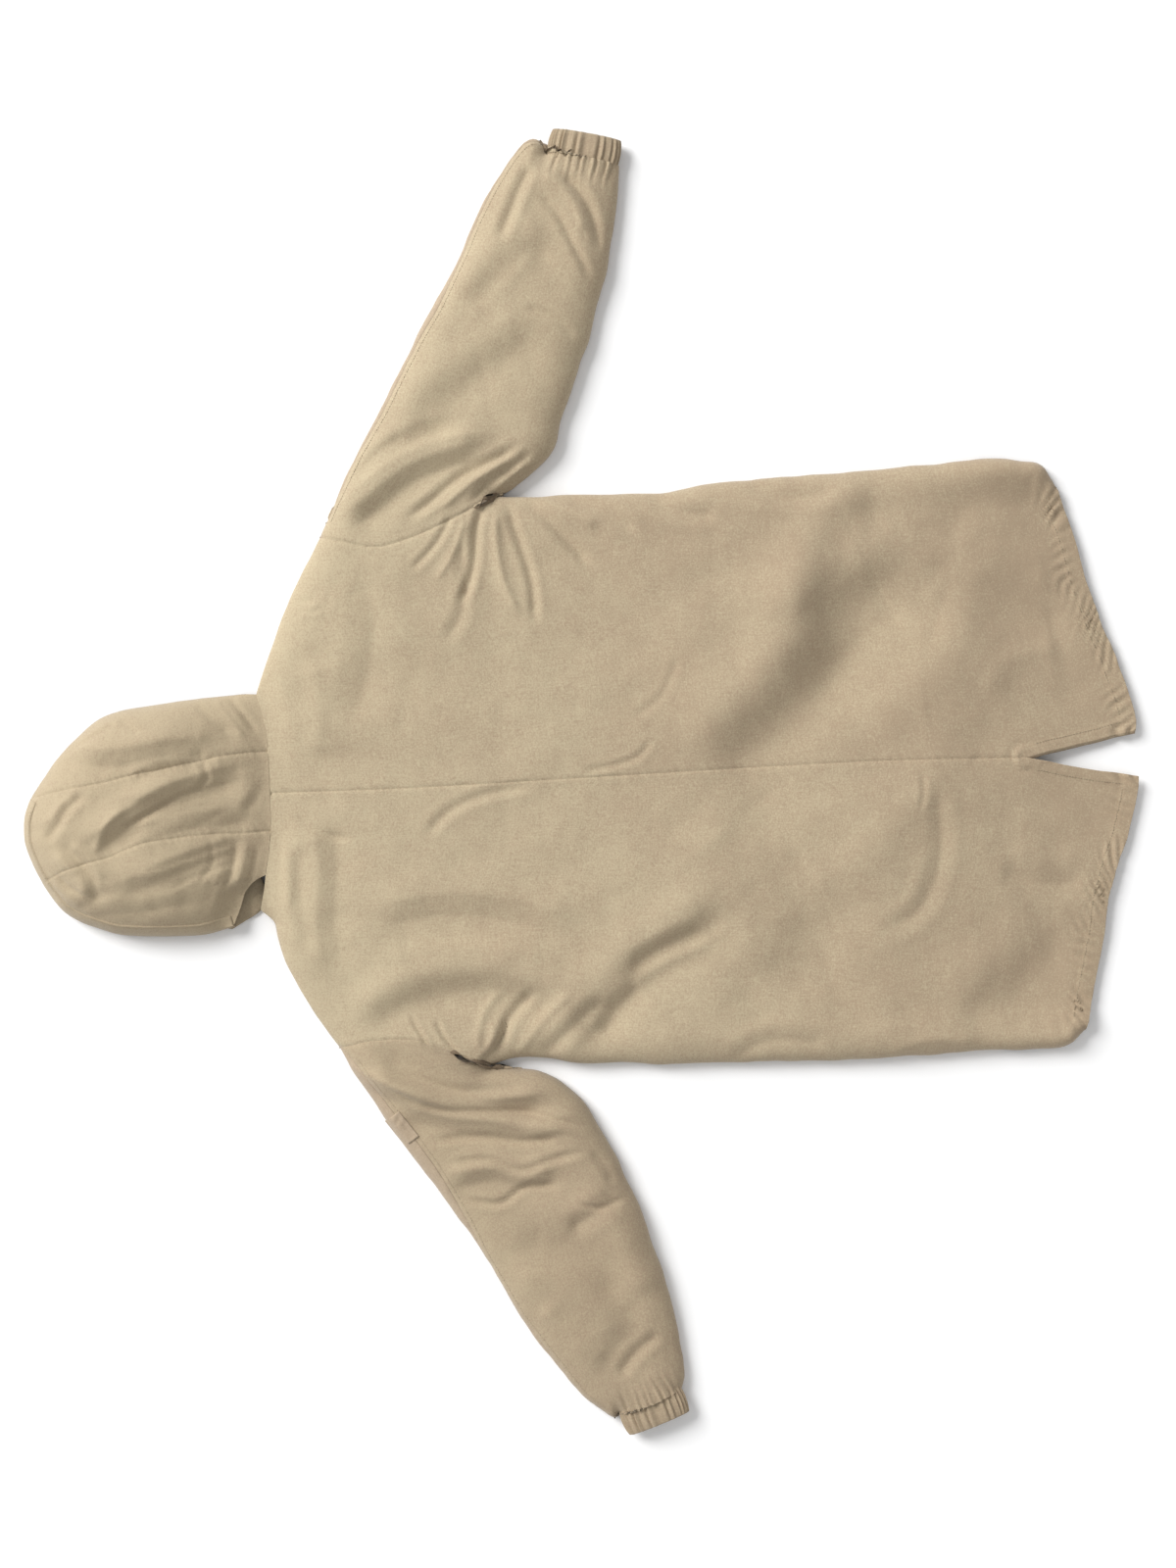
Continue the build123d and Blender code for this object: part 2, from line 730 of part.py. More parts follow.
def hood_plan(share):
    """Closed hood outline, drawn in to a share of its size about the middle."""
    centre_y = hood_foot + 0.38 * hood_length

    def point(across, up):
        x = hood_mid + share * across * hood_half
        y = centre_y + share * (hood_foot + up * hood_length - centre_y)
        return (x, y)

    with BuildSketch() as plan:
        with BuildLine():
            Spline(
                point(0.97, -0.40),
                point(1.00, 0.25),
                point(0.93, 0.55),
                point(0.60, 0.84),
                point(-0.05, 1.00),
                point(-0.72, 0.86),
                point(-0.97, 0.52),
                point(-0.98, 0.15),
                point(-0.97, -0.40),
            )
            Line(point(-0.97, -0.40), point(0.97, -0.40))
        make_face()
    return plan.sketch


hood_steps = [(1.0, 0.0), (1.0, edge), (0.92, 0.50 * hood_height), (0.70, 0.86 * hood_height), (0.34, hood_height)]


def hood_block():
    """Filled dome of the lying hood, cut open at the neck."""
    with BuildPart() as block:
        with BuildSketch():
            add(hood_plan(1.0))
        extrude(amount=edge)
        with BuildSketch(Plane.XY.offset(edge)):
            add(hood_plan(1.0))
        for share, height in hood_steps[2:]:
            with BuildSketch(Plane.XY.offset(height)):
                add(hood_plan(share))
        loft()
        split(bisect_by=Plane.XZ.offset(-hood_foot), keep=Keep.BOTTOM)
        neck_line = ((hood_left, hood_foot), (hood_right, hood_foot))
        split(
            bisect_by=ramp(*neck_line, hood_neck_height, 0.42, (hood_mid, crown_y)),
            keep=Keep.BOTTOM,
        )
    return block.part


hood = hood_block()
strip_outline = [
    (hood_strip_neck[0], hood_foot - tall),
    (hood_strip_neck[1], hood_foot - tall),
    (hood_strip_neck[1], hood_foot),
    (hood_strip_crown[1], crown_y - 0.12 * hood_length),
    (hood_strip_crown[1], crown_y + tall),
    (hood_strip_crown[0], crown_y + tall),
    (hood_strip_crown[0], crown_y - 0.12 * hood_length),
    (hood_strip_neck[0], hood_foot),
]
strip_prism = prism(strip_outline, -tall, tall)
hood_cloth = layer(hood, 0, shell)
with BuildPart() as hood_centre_panel:
    add(hood_cloth)
    add(strip_prism, mode=Mode.INTERSECT)
    split(bisect_by=Plane.XY.offset(shell), keep=Keep.TOP)
finish("hood_centre_panel", hood_centre_panel.part)

hood_sides = {"right": Keep.TOP, "left": Keep.BOTTOM}
hood_split = Plane.YZ.offset((hood_strip_neck[0] + hood_strip_neck[1]) / 2 - 20)
for side, keep in hood_sides.items():
    with BuildPart() as hood_side:
        add(hood_cloth)
        add(strip_prism, mode=Mode.SUBTRACT)
        split(bisect_by=hood_split, keep=keep)
        split(bisect_by=Plane.XY.offset(shell), keep=Keep.TOP)
    finish(f"hood_side_{side}", hood_side.part)

with BuildPart() as hood_opening_hem:
    with BuildSketch():
        add(hood_plan(1.0))
        add(hood_plan(1.0 - 2 * hood_hem / hood_length), mode=Mode.SUBTRACT)
    extrude(amount=shell)
    split(bisect_by=Plane.XZ.offset(-hood_foot), keep=Keep.BOTTOM)
finish("hood_opening_hem", hood_opening_hem.part)

with BuildPart() as hood_lining:
    add(layer(hood, shell, lining))
    split(bisect_by=Plane.XY.offset(shell + layer_clear), keep=Keep.TOP)
finish("hood_lining", hood_lining.part)
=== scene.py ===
"""A hooded, lightly padded coat that lies on its front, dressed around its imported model."""

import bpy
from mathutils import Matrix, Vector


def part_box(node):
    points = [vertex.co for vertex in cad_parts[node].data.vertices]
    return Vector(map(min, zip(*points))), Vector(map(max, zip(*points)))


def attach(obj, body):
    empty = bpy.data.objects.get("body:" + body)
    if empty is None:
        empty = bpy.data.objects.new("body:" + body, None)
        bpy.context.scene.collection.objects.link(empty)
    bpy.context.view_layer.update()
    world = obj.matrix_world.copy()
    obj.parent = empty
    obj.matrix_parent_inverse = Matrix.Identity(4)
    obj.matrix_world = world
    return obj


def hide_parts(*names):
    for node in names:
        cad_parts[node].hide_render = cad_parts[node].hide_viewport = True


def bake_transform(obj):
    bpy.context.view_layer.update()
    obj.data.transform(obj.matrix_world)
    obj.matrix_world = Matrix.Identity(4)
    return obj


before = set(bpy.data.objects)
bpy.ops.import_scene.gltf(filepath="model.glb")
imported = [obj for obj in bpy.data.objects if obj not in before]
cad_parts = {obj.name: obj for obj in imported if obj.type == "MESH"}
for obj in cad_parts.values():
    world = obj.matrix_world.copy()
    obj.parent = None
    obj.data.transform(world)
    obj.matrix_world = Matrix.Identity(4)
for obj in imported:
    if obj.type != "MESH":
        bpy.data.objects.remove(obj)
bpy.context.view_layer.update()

import logging
import math
from dataclasses import dataclass
from enum import Enum
from typing import Callable, Iterable, Optional, Sequence, Union

import bpy
import numpy as np

log = logging.getLogger("coat")

MM = 0.001  # plan sizes are in millimetres, and meshes are in metres
SEAM_HEIGHT = 8.0  # height of the side seams over the floor
TAIL_HEIGHT = 3.2  # height of the same seams at the tail, where no front lies under them
FLOOR_CLEAR = 0.7  # lowest cloth over the floor
TOP_CLEAR = FLOOR_CLEAR + 1.6  # lowest outer face of the cloth that lies on top
LINING_CLEAR = 2.2  # lowest lining over the floor
FILL_HEIGHT = 31.0  # top of the padded back and sleeves over the floor
FACING_CLOTH = 0.8  # thickness of turned hems, bindings and tabs
PLY_GAP = 0.3  # between a shell and the facing inside it
SOFT_STEP = 20  # width over which a stepped fold has no sharp edges
STEP_HALF = 0.62  # half of the rise of a sharp step, in its own widths
FOLD_REACH = 3.2  # where a fold has died out, in its own widths
CRUMPLE_MEAN = 0.25  # mean of a field of pads before it is centred
CELLS = 128  # cells along each side of a random field
TINY = 1e-9  # keeps a division by a length off nought

Points = Sequence[tuple[float, float]]
Field = Callable[[np.ndarray, np.ndarray], np.ndarray]
Rgb = tuple[float, float, float]


# ---------------------------------------------------------------- curves and fields


def spline(points: Points, step: float = 6.0) -> np.ndarray:
    """Smooth line through given plan points.

    Args:
        points: Places in the plan, in millimetres.
        step: Rough spacing of the samples.

    Returns:
        Samples along the line, evenly spaced.
    """
    p = np.array(points, float)
    if len(p) == 2:
        fine = p
    else:
        p = np.vstack([2 * p[0] - p[1], p, 2 * p[-1] - p[-2]])
        t = np.linspace(0, 1, 24, endpoint=False)[:, None]
        parts = []
        for a, b, c, d in zip(p[:-3], p[1:-2], p[2:-1], p[3:]):
            bend = (2 * b + (c - a) * t + (2 * a - 5 * b + 4 * c - d) * t**2
                    + (3 * b - a - 3 * c + d) * t**3) / 2
            parts.append(bend)
        fine = np.vstack([*parts, p[-2:-1]])
    return resample(fine, np.linspace(0, 1, max(3, int(length_of(fine) / step) + 1)))


def length_of(line: np.ndarray) -> float:
    """Length of a sampled line."""
    return float(np.linalg.norm(np.diff(line, axis=0), axis=1).sum())


def resample(line: np.ndarray, shares: np.ndarray) -> np.ndarray:
    """Points at given shares of a line's length.

    Args:
        line: Samples of the line.
        shares: Places along it, from 0 to 1.

    Returns:
        One point for each share.
    """
    along = np.concatenate([[0], np.cumsum(np.linalg.norm(np.diff(line, axis=0), axis=1))])
    along /= along[-1]
    return np.stack([np.interp(shares, along, line[:, k]) for k in range(line.shape[1])], axis=1)


def join(*lines: np.ndarray) -> np.ndarray:
    """One line from several that meet end to end."""
    return np.vstack([lines[0], *[line[1:] for line in lines[1:]]])


def nearest(x: np.ndarray, y: np.ndarray, line: np.ndarray) -> tuple[np.ndarray, np.ndarray]:
    """Signed distance to a line, and the share of its length where it is nearest.

    Args:
        x: Plan places across.
        y: Plan places along.
        line: Samples of the line.

    Returns:
        Distance, positive on the line's left, and share.
    """
    shape = x.shape
    px, py = x.ravel(), y.ravel()
    best = np.full(px.shape, np.inf)
    share = np.zeros(px.shape)
    side = np.ones(px.shape)
    steps = np.linalg.norm(np.diff(line, axis=0), axis=1)
    along = np.concatenate([[0], np.cumsum(steps)])
    for (ax, ay), (bx, by), step, begun in zip(line[:-1], line[1:], steps, along[:-1]):
        dx, dy = (bx - ax) / step, (by - ay) / step
        rx, ry = px - ax, py - ay
        t = np.clip(rx * dx + ry * dy, 0, step)
        gap = np.hypot(rx - t * dx, ry - t * dy)
        closer = gap < best
        best = np.where(closer, gap, best)
        share = np.where(closer, (begun + t) / along[-1], share)
        side = np.where(closer, np.where(dx * ry - dy * rx < 0, -1.0, 1.0), side)
    return (best * side).reshape(shape), share.reshape(shape)


def distance(x: np.ndarray, y: np.ndarray, lines: Iterable[np.ndarray]) -> np.ndarray:
    """Distance to the nearest of several lines."""
    return np.min([np.abs(nearest(x, y, line)[0]) for line in lines], axis=0)


def noise(x: np.ndarray, y: np.ndarray, size: float, seed: int) -> np.ndarray:
    """Smooth random field, about -0.7 to 0.7.

    Args:
        x: Places across.
        y: Places along.
        size: Width of one swell.
        seed: Which field.

    Returns:
        The field at each place.
    """
    turn = np.random.default_rng(seed).random((CELLS, CELLS)) * 2 * math.pi
    gx, gy = np.cos(turn), np.sin(turn)
    middle = (CELLS + 1) / 2
    u, v = x / size + middle, y / size + middle
    i, j = np.floor(u).astype(int), np.floor(v).astype(int)
    fu, fv = u - i, v - j
    su, sv = (f**3 * (f * (6 * f - 15) + 10) for f in (fu, fv))

    def corner(di: int, dj: int) -> np.ndarray:
        """What one corner of each place's cell gives."""
        a, b = (i + di) % CELLS, (j + dj) % CELLS
        return gx[a, b] * (fu - di) + gy[a, b] * (fv - dj)

    low = corner(0, 0) * (1 - su) + corner(1, 0) * su
    high = corner(0, 1) * (1 - su) + corner(1, 1) * su
    return low * (1 - sv) + high * sv


def smooth(value: np.ndarray, low: float, high: float) -> np.ndarray:
    """Rise from 0 at low to 1 at high, with soft ends."""
    t = np.clip((value - low) / (high - low), 0, 1)
    return t * t * (3 - 2 * t)


def bulge(gap: np.ndarray, reach: float) -> np.ndarray:
    """Quarter round that rises from 0 at an edge to 1 at its reach."""
    return np.sqrt(np.clip(1 - (1 - np.clip(gap / reach, 0, 1)) ** 2, 0, 1))


class Fold(Enum):
    """Shape of a fold across its line."""

    VALLEY = "valley"
    RIDGE = "ridge"
    STEP = "step"  # high on the line's left, low on its right


@dataclass(frozen=True)
class Crease:
    """One fold that the lying cloth has taken."""

    kind: Fold
    width: float
    depth: float
    points: Points

    def height(self, x: np.ndarray, y: np.ndarray) -> np.ndarray:
        """Height that the fold adds at plan places.

        Args:
            x: Places across.
            y: Places along.

        Returns:
            Heights in millimetres.
        """
        line = spline(self.points, max(4.0, self.width / 2))
        reach = FOLD_REACH * self.width
        low, high = line.min(axis=0) - reach, line.max(axis=0) + reach
        inside = (x > low[0]) & (x < high[0]) & (y > low[1]) & (y < high[1])
        out = np.zeros(x.shape)
        if not inside.any():
            return out
        gap, share = nearest(x[inside], y[inside], line)
        fade = np.clip(2.2 * np.sin(np.pi * share), 0, 1) ** 1.5
        across = gap / self.width
        cusp = np.exp(0.35 - 1.5 * np.sqrt(across**2 + 0.06))
        if self.kind is Fold.STEP and self.width > SOFT_STEP:
            shape = 1.6 * across * np.exp(-(across**2))
        elif self.kind is Fold.STEP:
            beyond = np.maximum(np.abs(across) - STEP_HALF, 0) / 1.25
            shape = 0.72 * np.clip(across / STEP_HALF, -1, 1) * np.exp(-(beyond**2))
        elif self.kind is Fold.RIDGE:
            shape = cusp
        else:
            shape = 0.3 * np.exp(-((np.abs(across) - 1.6) ** 2) * 2) - cusp
        out[inside] = self.depth * fade * shape
        return out


# ---------------------------------------------------------------- plan of the lying coat

NECK = 358.0  # the neck seam at the middle, along
SEAM_X = -4.0  # the centre seam and the zip, across
VENT_TOP = (-5.0, -508.0)
FRONT_HEM = -470.0  # the hem of the fronts, along

# How far handling has pushed each line out of true, in millimetres.
WAVES = {"side": 1.6, "hem": 1.5, "shoulder": 0.8, "sleeve_top": 1.8, "underarm": 2.0,
         "sleeve_seam": 0.9, "vent": 0.9, "armhole": 1.2, "neck": 1.0, "right": 1.2,
         "seam_right": 1.2, "seam_left": 1.2, "lip": 1.0, "left": 1.0}


def side_lines(**named: Points) -> dict[str, np.ndarray]:
    """Sampled lines by name, uneven as sewn and handled cloth is.

    Args:
        named: Given points of each line.

    Returns:
        The lines, which keep their ends.
    """
    lines = {}
    for seed, (name, points) in enumerate(named.items()):
        line = spline(points)
        ahead = np.gradient(line, axis=0)
        ahead /= np.linalg.norm(ahead, axis=1, keepdims=True)
        along = np.linspace(0, length_of(line), len(line))
        still = 0 * along
        wave = noise(along, still, 52, 90 + seed) + 0.5 * noise(along, still, 23, 190 + seed)
        ends = smooth(np.minimum(along, along[-1] - along), 0, 30)
        wave *= 1.6 * WAVES.get(name, 0.0) * ends
        lines[name] = line + np.stack([-ahead[:, 1], ahead[:, 0]], axis=1) * wave[:, None]
    return lines


RIGHT = side_lines(
    neck=[(SEAM_X, 357), (48, 357), (84, 361), (110, 368)],
    shoulder=[(110, 368), (134, 360), (180, 342), (227, 320), (286, 287)],
    armhole=[(286, 287), (271, 226), (283, 170), (303, 124), (324, 84)],
    side=[(324, 84), (320, 40), (322, 0), (319, -80), (320, -120), (326, -170), (329, -250),
          (332, -330), (336, -410), (339, -480), (337, -520), (330, -545), (304, -560)],
    hem=[(20, -637), (38, -637), (100, -621), (155, -600), (250, -575), (304, -560)],
    vent=[VENT_TOP, (8, -570), (20, -637)],
    sleeve_top=[(286, 287), (327, 268), (378, 240), (446, 200), (516, 160), (586, 120), (640, 92),
                (690, 61), (712, 46), (727, 31), (731, 18), (723, 8), (714, 5)],
    sleeve_seam=[(286, 287), (330, 264), (378, 237), (411, 216), (486, 172), (564, 125), (634, 91),
                 (688, 60), (711, 44), (725, 30), (728, 18), (721, 8), (713, 4)],
    underarm=[(324, 84), (331, 62), (347, 40), (375, 15), (414, 0), (460, -18), (521, -40),
              (600, -62), (650, -73), (695, -77)],
    cuff=[(695, -77), (704, -36), (714, 5)],
)
LEFT = side_lines(
    neck=[(SEAM_X, 357), (-50, 358), (-97, 366), (-118, 370), (-137, 375)],
    shoulder=[(-137, 375), (-152, 361), (-167, 358), (-190, 352), (-214, 343), (-258, 320),
              (-299, 293)],
    armhole=[(-299, 293), (-292, 248), (-292, 209), (-305, 170), (-320, 143), (-328, 121)],
    side=[(-328, 121), (-322, 95), (-323, 55), (-330, 20), (-332, -30), (-337, -90), (-339, -160),
          (-342, -280), (-340, -400), (-339, -480), (-340, -522), (-336, -545), (-322, -562)],
    hem=[(-33, -638), (-55, -636), (-100, -622), (-161, -600), (-250, -582), (-322, -562)],
    vent=[VENT_TOP, (-19, -570), (-33, -638)],
    sleeve_top=[(-299, 293), (-327, 277), (-392, 240), (-452, 200), (-513, 160), (-579, 120),
                (-652, 80), (-704, 40), (-724, 20), (-738, 3), (-739, -5), (-733, -7)],
    sleeve_seam=[(-299, 293), (-316, 275), (-379, 230), (-404, 212), (-441, 187), (-500, 158),
                 (-557, 131), (-622, 95), (-702, 39), (-722, 19), (-735, 2), (-736, -5),
                 (-732, -8)],
    underarm=[(-328, 121), (-335, 90), (-338, 66), (-350, 40), (-375, 18), (-406, 0), (-450, -22),
              (-495, -40), (-545, -57), (-590, -68), (-643, -79), (-690, -85),
              (-707, -81)],
    cuff=[(-707, -81), (-722, -46), (-733, -7)],
)
SIDES = {"right": RIGHT, "left": LEFT}
CENTRE_SEAM = spline([VENT_TOP, (-1, -300), (-4, 0), (-6, 200), (SEAM_X, 357)])
# Edges where the cloth turns under instead of ending.
CLOSED = [lines[name] for lines in SIDES.values()
          for name in ("shoulder", "side", "sleeve_top", "underarm")]


def between(line: np.ndarray, first: float, last: float) -> np.ndarray:
    """Part of a line between two places across.

    Args:
        line: Samples that run from left to right.
        first: Where the part starts.
        last: Where it ends.

    Returns:
        The part, with a sample at each end.
    """
    kept = line[(line[:, 0] > first) & (line[:, 0] < last)]
    ends = [[x, np.interp(x, line[:, 0], line[:, 1])] for x in (first, last)]
    return np.vstack([ends[:1], kept, ends[1:]])


NECK_LINE = join(LEFT["neck"][::-1], RIGHT["neck"])
# Where the hood's edges and seams meet the neck line, across.
NECK_RIGHT, NECK_SEAM_RIGHT, NECK_SEAM_LEFT, NECK_LEFT = 110.0, 44.0, -47.0, -97.0
HOOD = side_lines(
    right=[(110, 368), (111, 385), (110, 410), (108, 440), (104, 480), (99, 520), (93, 543),
           (83, 560), (66, 580), (47, 600), (24, 618), (3, 633)],
    crown=[(-96, 623), (-74, 633), (-50, 641), (-32, 642), (-15, 640), (3, 633)],
    corner=[(-150, 560), (-141, 582), (-129, 600), (-114, 612), (-96, 623)],
    left=[(-154, 406), (-161, 440), (-162, 480), (-160, 520), (-157, 540), (-150, 560)],
    seam_right=[(44, 357), (42, 395), (39, 420), (30, 470), (21, 520), (10, 585), (3, 633)],
    seam_left=[(-47, 358), (-48, 400), (-49, 450), (-52, 490), (-60, 517), (-67, 535),
               (-77, 580), (-86, 604), (-96, 623)],
    lip=[(-154, 406), (-136, 399), (-118, 393), (-109, 386), (-102, 377), (NECK_LEFT, 366)],
)
HOOD["brim"] = join(HOOD["left"], HOOD["corner"], HOOD["crown"])
HOOD["outline"] = join(HOOD["brim"], HOOD["right"][::-1])

# Kind, width, depth and plan points of each fold, in millimetres.
BACK_FOLDS = [
    Crease(Fold.STEP, 50, 13, [(-10, -120), (50, -200), (115, -262), (196, -305), (240, -390)]),
    Crease(Fold.STEP, 34, 7, [(150, -250), (205, -272), (262, -300), (310, -360)]),
    Crease(Fold.VALLEY, 52, 7, [(60, -260), (130, -320), (170, -380), (150, -450)]),
    Crease(Fold.STEP, 58, 5, [(0, -400), (70, -450), (150, -470), (240, -500)]),
    Crease(Fold.RIDGE, 58, 5, [(-150, -230), (-120, -300), (-60, -370), (10, -430)]),
    Crease(Fold.VALLEY, 11, 2.6, [(-195, -325), (-175, -375), (-115, -404), (-25, -404)]),
    Crease(Fold.VALLEY, 3.6, 1.8, [(-60, -382), (-40, -388), (-16, -388)]),
    Crease(Fold.STEP, 32, 9.5, [(-314, 40), (-250, -16), (-212, -58), (-185, -108), (-150, -165)]),
    Crease(Fold.STEP, 12, 4, [(-300, 0), (-262, -22), (-236, -52)]),
    Crease(Fold.VALLEY, 10.4, 4.5, [(-225, -40), (-198, -90), (-182, -135)]),
    Crease(Fold.RIDGE, 16, 3.5, [(-270, -10), (-226, -70), (-200, -130), (-170, -170)]),
    Crease(Fold.STEP, 26, 8, [(-276, 280), (-238, 205), (-228, 135), (-246, 60), (-262, 10)]),
    Crease(Fold.RIDGE, 22, 3.5, [(-200, 250), (-190, 170), (-196, 90), (-215, 30)]),
    Crease(Fold.STEP, 20, 4.5, [(-150, 250), (-140, 160), (-152, 80), (-180, 10)]),
    Crease(Fold.VALLEY, 6.4, 2.6, [(-66, 185), (-34, 152), (-17, 108), (-9, 52)]),
    Crease(Fold.VALLEY, 4, 2.4, [(3, 2), (9, -40), (18, -66), (38, -84)]),
    Crease(Fold.VALLEY, 4.8, 1.4, [(60, -60), (85, -95), (130, -118)]),
    Crease(Fold.VALLEY, 5.6, 4.5, [(320, 94), (286, 106), (240, 112), (196, 130)]),
    Crease(Fold.RIDGE, 6.4, 4.5, [(314, 82), (270, 84), (225, 78), (180, 60)]),
    Crease(Fold.VALLEY, 5.6, 3.8, [(318, 72), (270, 58), (222, 46), (170, 44)]),
    Crease(Fold.VALLEY, 7.2, 3.8, [(318, 56), (296, 28), (262, -2), (235, -24)]),
    Crease(Fold.RIDGE, 8, 3.4, [(320, 36), (302, 2), (280, -34)]),
    Crease(Fold.VALLEY, 8, 3, [(318, 6), (300, -38), (272, -78)]),
    Crease(Fold.RIDGE, 5.6, 2.8, [(300, 118), (262, 132), (226, 156)]),
    Crease(Fold.VALLEY, 4.8, 2.4, [(306, 132), (272, 152), (240, 184)]),
    Crease(Fold.VALLEY, 6.4, 4.2, [(-324, 118), (-300, 106), (-272, 94), (-240, 62)]),
    Crease(Fold.RIDGE, 7.2, 4, [(-322, 94), (-298, 74), (-270, 50), (-245, 20)]),
    Crease(Fold.VALLEY, 9.6, 4, [(-324, 66), (-302, 40), (-272, 8), (-256, -20)]),
    Crease(Fold.RIDGE, 5.6, 3, [(-318, 130), (-292, 132), (-262, 122), (-240, 100)]),
    Crease(Fold.VALLEY, 8, 2.2, [(155, 150), (190, 128), (240, 122), (280, 128)]),
    Crease(Fold.VALLEY, 22, 3.2, [(60, 260), (120, 240), (190, 228), (250, 250)]),
    Crease(Fold.RIDGE, 24, 3.2, [(30, 300), (90, 296), (150, 300)]),
    Crease(Fold.STEP, 16, 3.6, [(-220, 290), (-160, 300), (-90, 294), (-30, 300)]),
    Crease(Fold.STEP, 11, 2.8, [(-190, 326), (-130, 334), (-60, 334)]),
    Crease(Fold.VALLEY, 6.4, 2, [(-40, 349), (-90, 350), (-140, 352)]),
    Crease(Fold.VALLEY, 4.8, 1.6, [(-30, 330), (-52, 300), (-62, 262)]),
    Crease(Fold.STEP, 40, 4, [(250, -420), (200, -470), (170, -520), (180, -570)]),
    Crease(Fold.RIDGE, 26, 4, [(70, -460), (110, -500), (120, -560)]),
    Crease(Fold.STEP, 40, 3.5, [(-290, -400), (-250, -480), (-190, -540)]),
    Crease(Fold.VALLEY, 16, 3.2, [(-130, -470), (-150, -520), (-150, -575)]),
    Crease(Fold.VALLEY, 9.6, 3, [(320, -90), (296, -120), (286, -170)]),
    Crease(Fold.VALLEY, 11.2, 3.2, [(326, -200), (304, -250), (310, -310)]),
    Crease(Fold.VALLEY, 11.2, 3.4, [(-338, -150), (-314, -200), (-320, -270)]),
    Crease(Fold.RIDGE, 9.6, 3, [(-338, -330), (-322, -380), (-328, -440)]),
    Crease(Fold.STEP, 60, 8, [(-260, -190), (-180, -230), (-100, -200), (-30, -150)]),
]
SLEEVE_FOLDS = [
    Crease(Fold.STEP, 15, 8, [(296, 262), (322, 222), (352, 178), (368, 130), (376, 84)]),
    Crease(Fold.RIDGE, 9.6, 4.5, [(312, 272), (344, 232), (374, 184), (390, 130), (392, 80)]),
    Crease(Fold.VALLEY, 6.4, 4.4, [(298, 190), (318, 158), (345, 122), (362, 84), (380, 48)]),
    Crease(Fold.RIDGE, 5.6, 4, [(306, 150), (326, 124), (350, 92), (366, 58)]),
    Crease(Fold.VALLEY, 5.6, 4.2, [(314, 112), (334, 92), (352, 66), (372, 36)]),
    Crease(Fold.RIDGE, 4.8, 3, [(322, 92), (340, 70), (358, 44)]),
    Crease(Fold.STEP, 14, 4, [(330, 262), (372, 216), (400, 168), (410, 120)]),
    Crease(Fold.VALLEY, 7.2, 2.6, [(350, 246), (380, 212), (396, 180)]),
    Crease(Fold.STEP, 28, 5, [(400, 190), (450, 130), (490, 70), (520, 20)]),
    Crease(Fold.RIDGE, 22, 4, [(520, 110), (560, 60), (600, 20)]),
    Crease(Fold.STEP, 26, 5, [(540, 120), (590, 60), (620, 0)]),
    Crease(Fold.VALLEY, 6.4, 4.6, [(592, -50), (628, -46), (660, -34), (692, -8)]),
    Crease(Fold.RIDGE, 6.4, 4, [(610, -34), (645, -24), (672, -6), (690, 16)]),
    Crease(Fold.VALLEY, 5.6, 3.2, [(560, -40), (600, -22), (640, -4), (668, 20)]),
    Crease(Fold.VALLEY, 7.2, 4, [(610, 66), (644, 50), (676, 36), (700, 22)]),
    Crease(Fold.VALLEY, 5.6, 2.4, [(496, -20), (520, 6), (536, 40)]),
    Crease(Fold.STEP, 14, 7.5, [(-396, 34), (-388, 84), (-372, 140), (-344, 206), (-308, 268)]),
    Crease(Fold.STEP, 28, 5, [(-640, -30), (-600, 0), (-560, 50), (-540, 110)]),
    Crease(Fold.RIDGE, 24, 4, [(-600, 80), (-640, 40), (-670, 0)]),
    Crease(Fold.VALLEY, 11.2, 3.4, [(-480, -20), (-500, 10), (-520, 40)]),
    Crease(Fold.VALLEY, 7.2, 3.2, [(-640, -60), (-662, -30), (-690, -8)]),
    Crease(Fold.VALLEY, 5.6, 2.6, [(-430, 10), (-448, -6), (-470, -14)]),
    Crease(Fold.VALLEY, 7, 3.0, [(-310, 285), (-337, 216), (-354, 145), (-347, 53)]),
    Crease(Fold.STEP, 14, 7, [(-326, 290), (-356, 219), (-372, 133), (-367, 42)]),
    Crease(Fold.VALLEY, 4.4, 3.6, [(-340, 248), (-371, 185), (-382, 88), (-404, 6)]),
    Crease(Fold.STEP, 13, 5.5, [(-369, 236), (-391, 165), (-399, 89), (-418, 25)]),
    Crease(Fold.VALLEY, 5, 3.4, [(-408, 196), (-408, 135), (-415, 83), (-407, 34)]),
    Crease(Fold.VALLEY, 5, 3.6, [(-436, 180), (-433, 127), (-447, 93), (-437, 57), (-427, 13)]),
    Crease(Fold.STEP, 13, 5.5, [(-458, 180), (-450, 124), (-460, 85), (-446, 40)]),
    Crease(Fold.VALLEY, 4.4, 3.8, [(-476, 158), (-484, 118), (-466, 85), (-467, 47)]),
    Crease(Fold.VALLEY, 3.6, 2.6, [(-485, 30), (-494, 3), (-482, -31)]),
    Crease(Fold.STEP, 26, 4.5, [(-493, 48), (-514, 10), (-555, -20), (-607, -30)]),
    Crease(Fold.VALLEY, 4.4, 3, [(-325, 131), (-308, 116), (-289, 102), (-270, 101)]),
    Crease(Fold.RIDGE, 5, 3.4, [(-322, 142), (-311, 125), (-294, 115), (-275, 116)]),
    Crease(Fold.VALLEY, 3.6, 2.6, [(-313, 152), (-292, 170), (-271, 180)]),
    Crease(Fold.VALLEY, 3.2, 2.2, [(-302, 188), (-284, 199), (-264, 208)]),
]
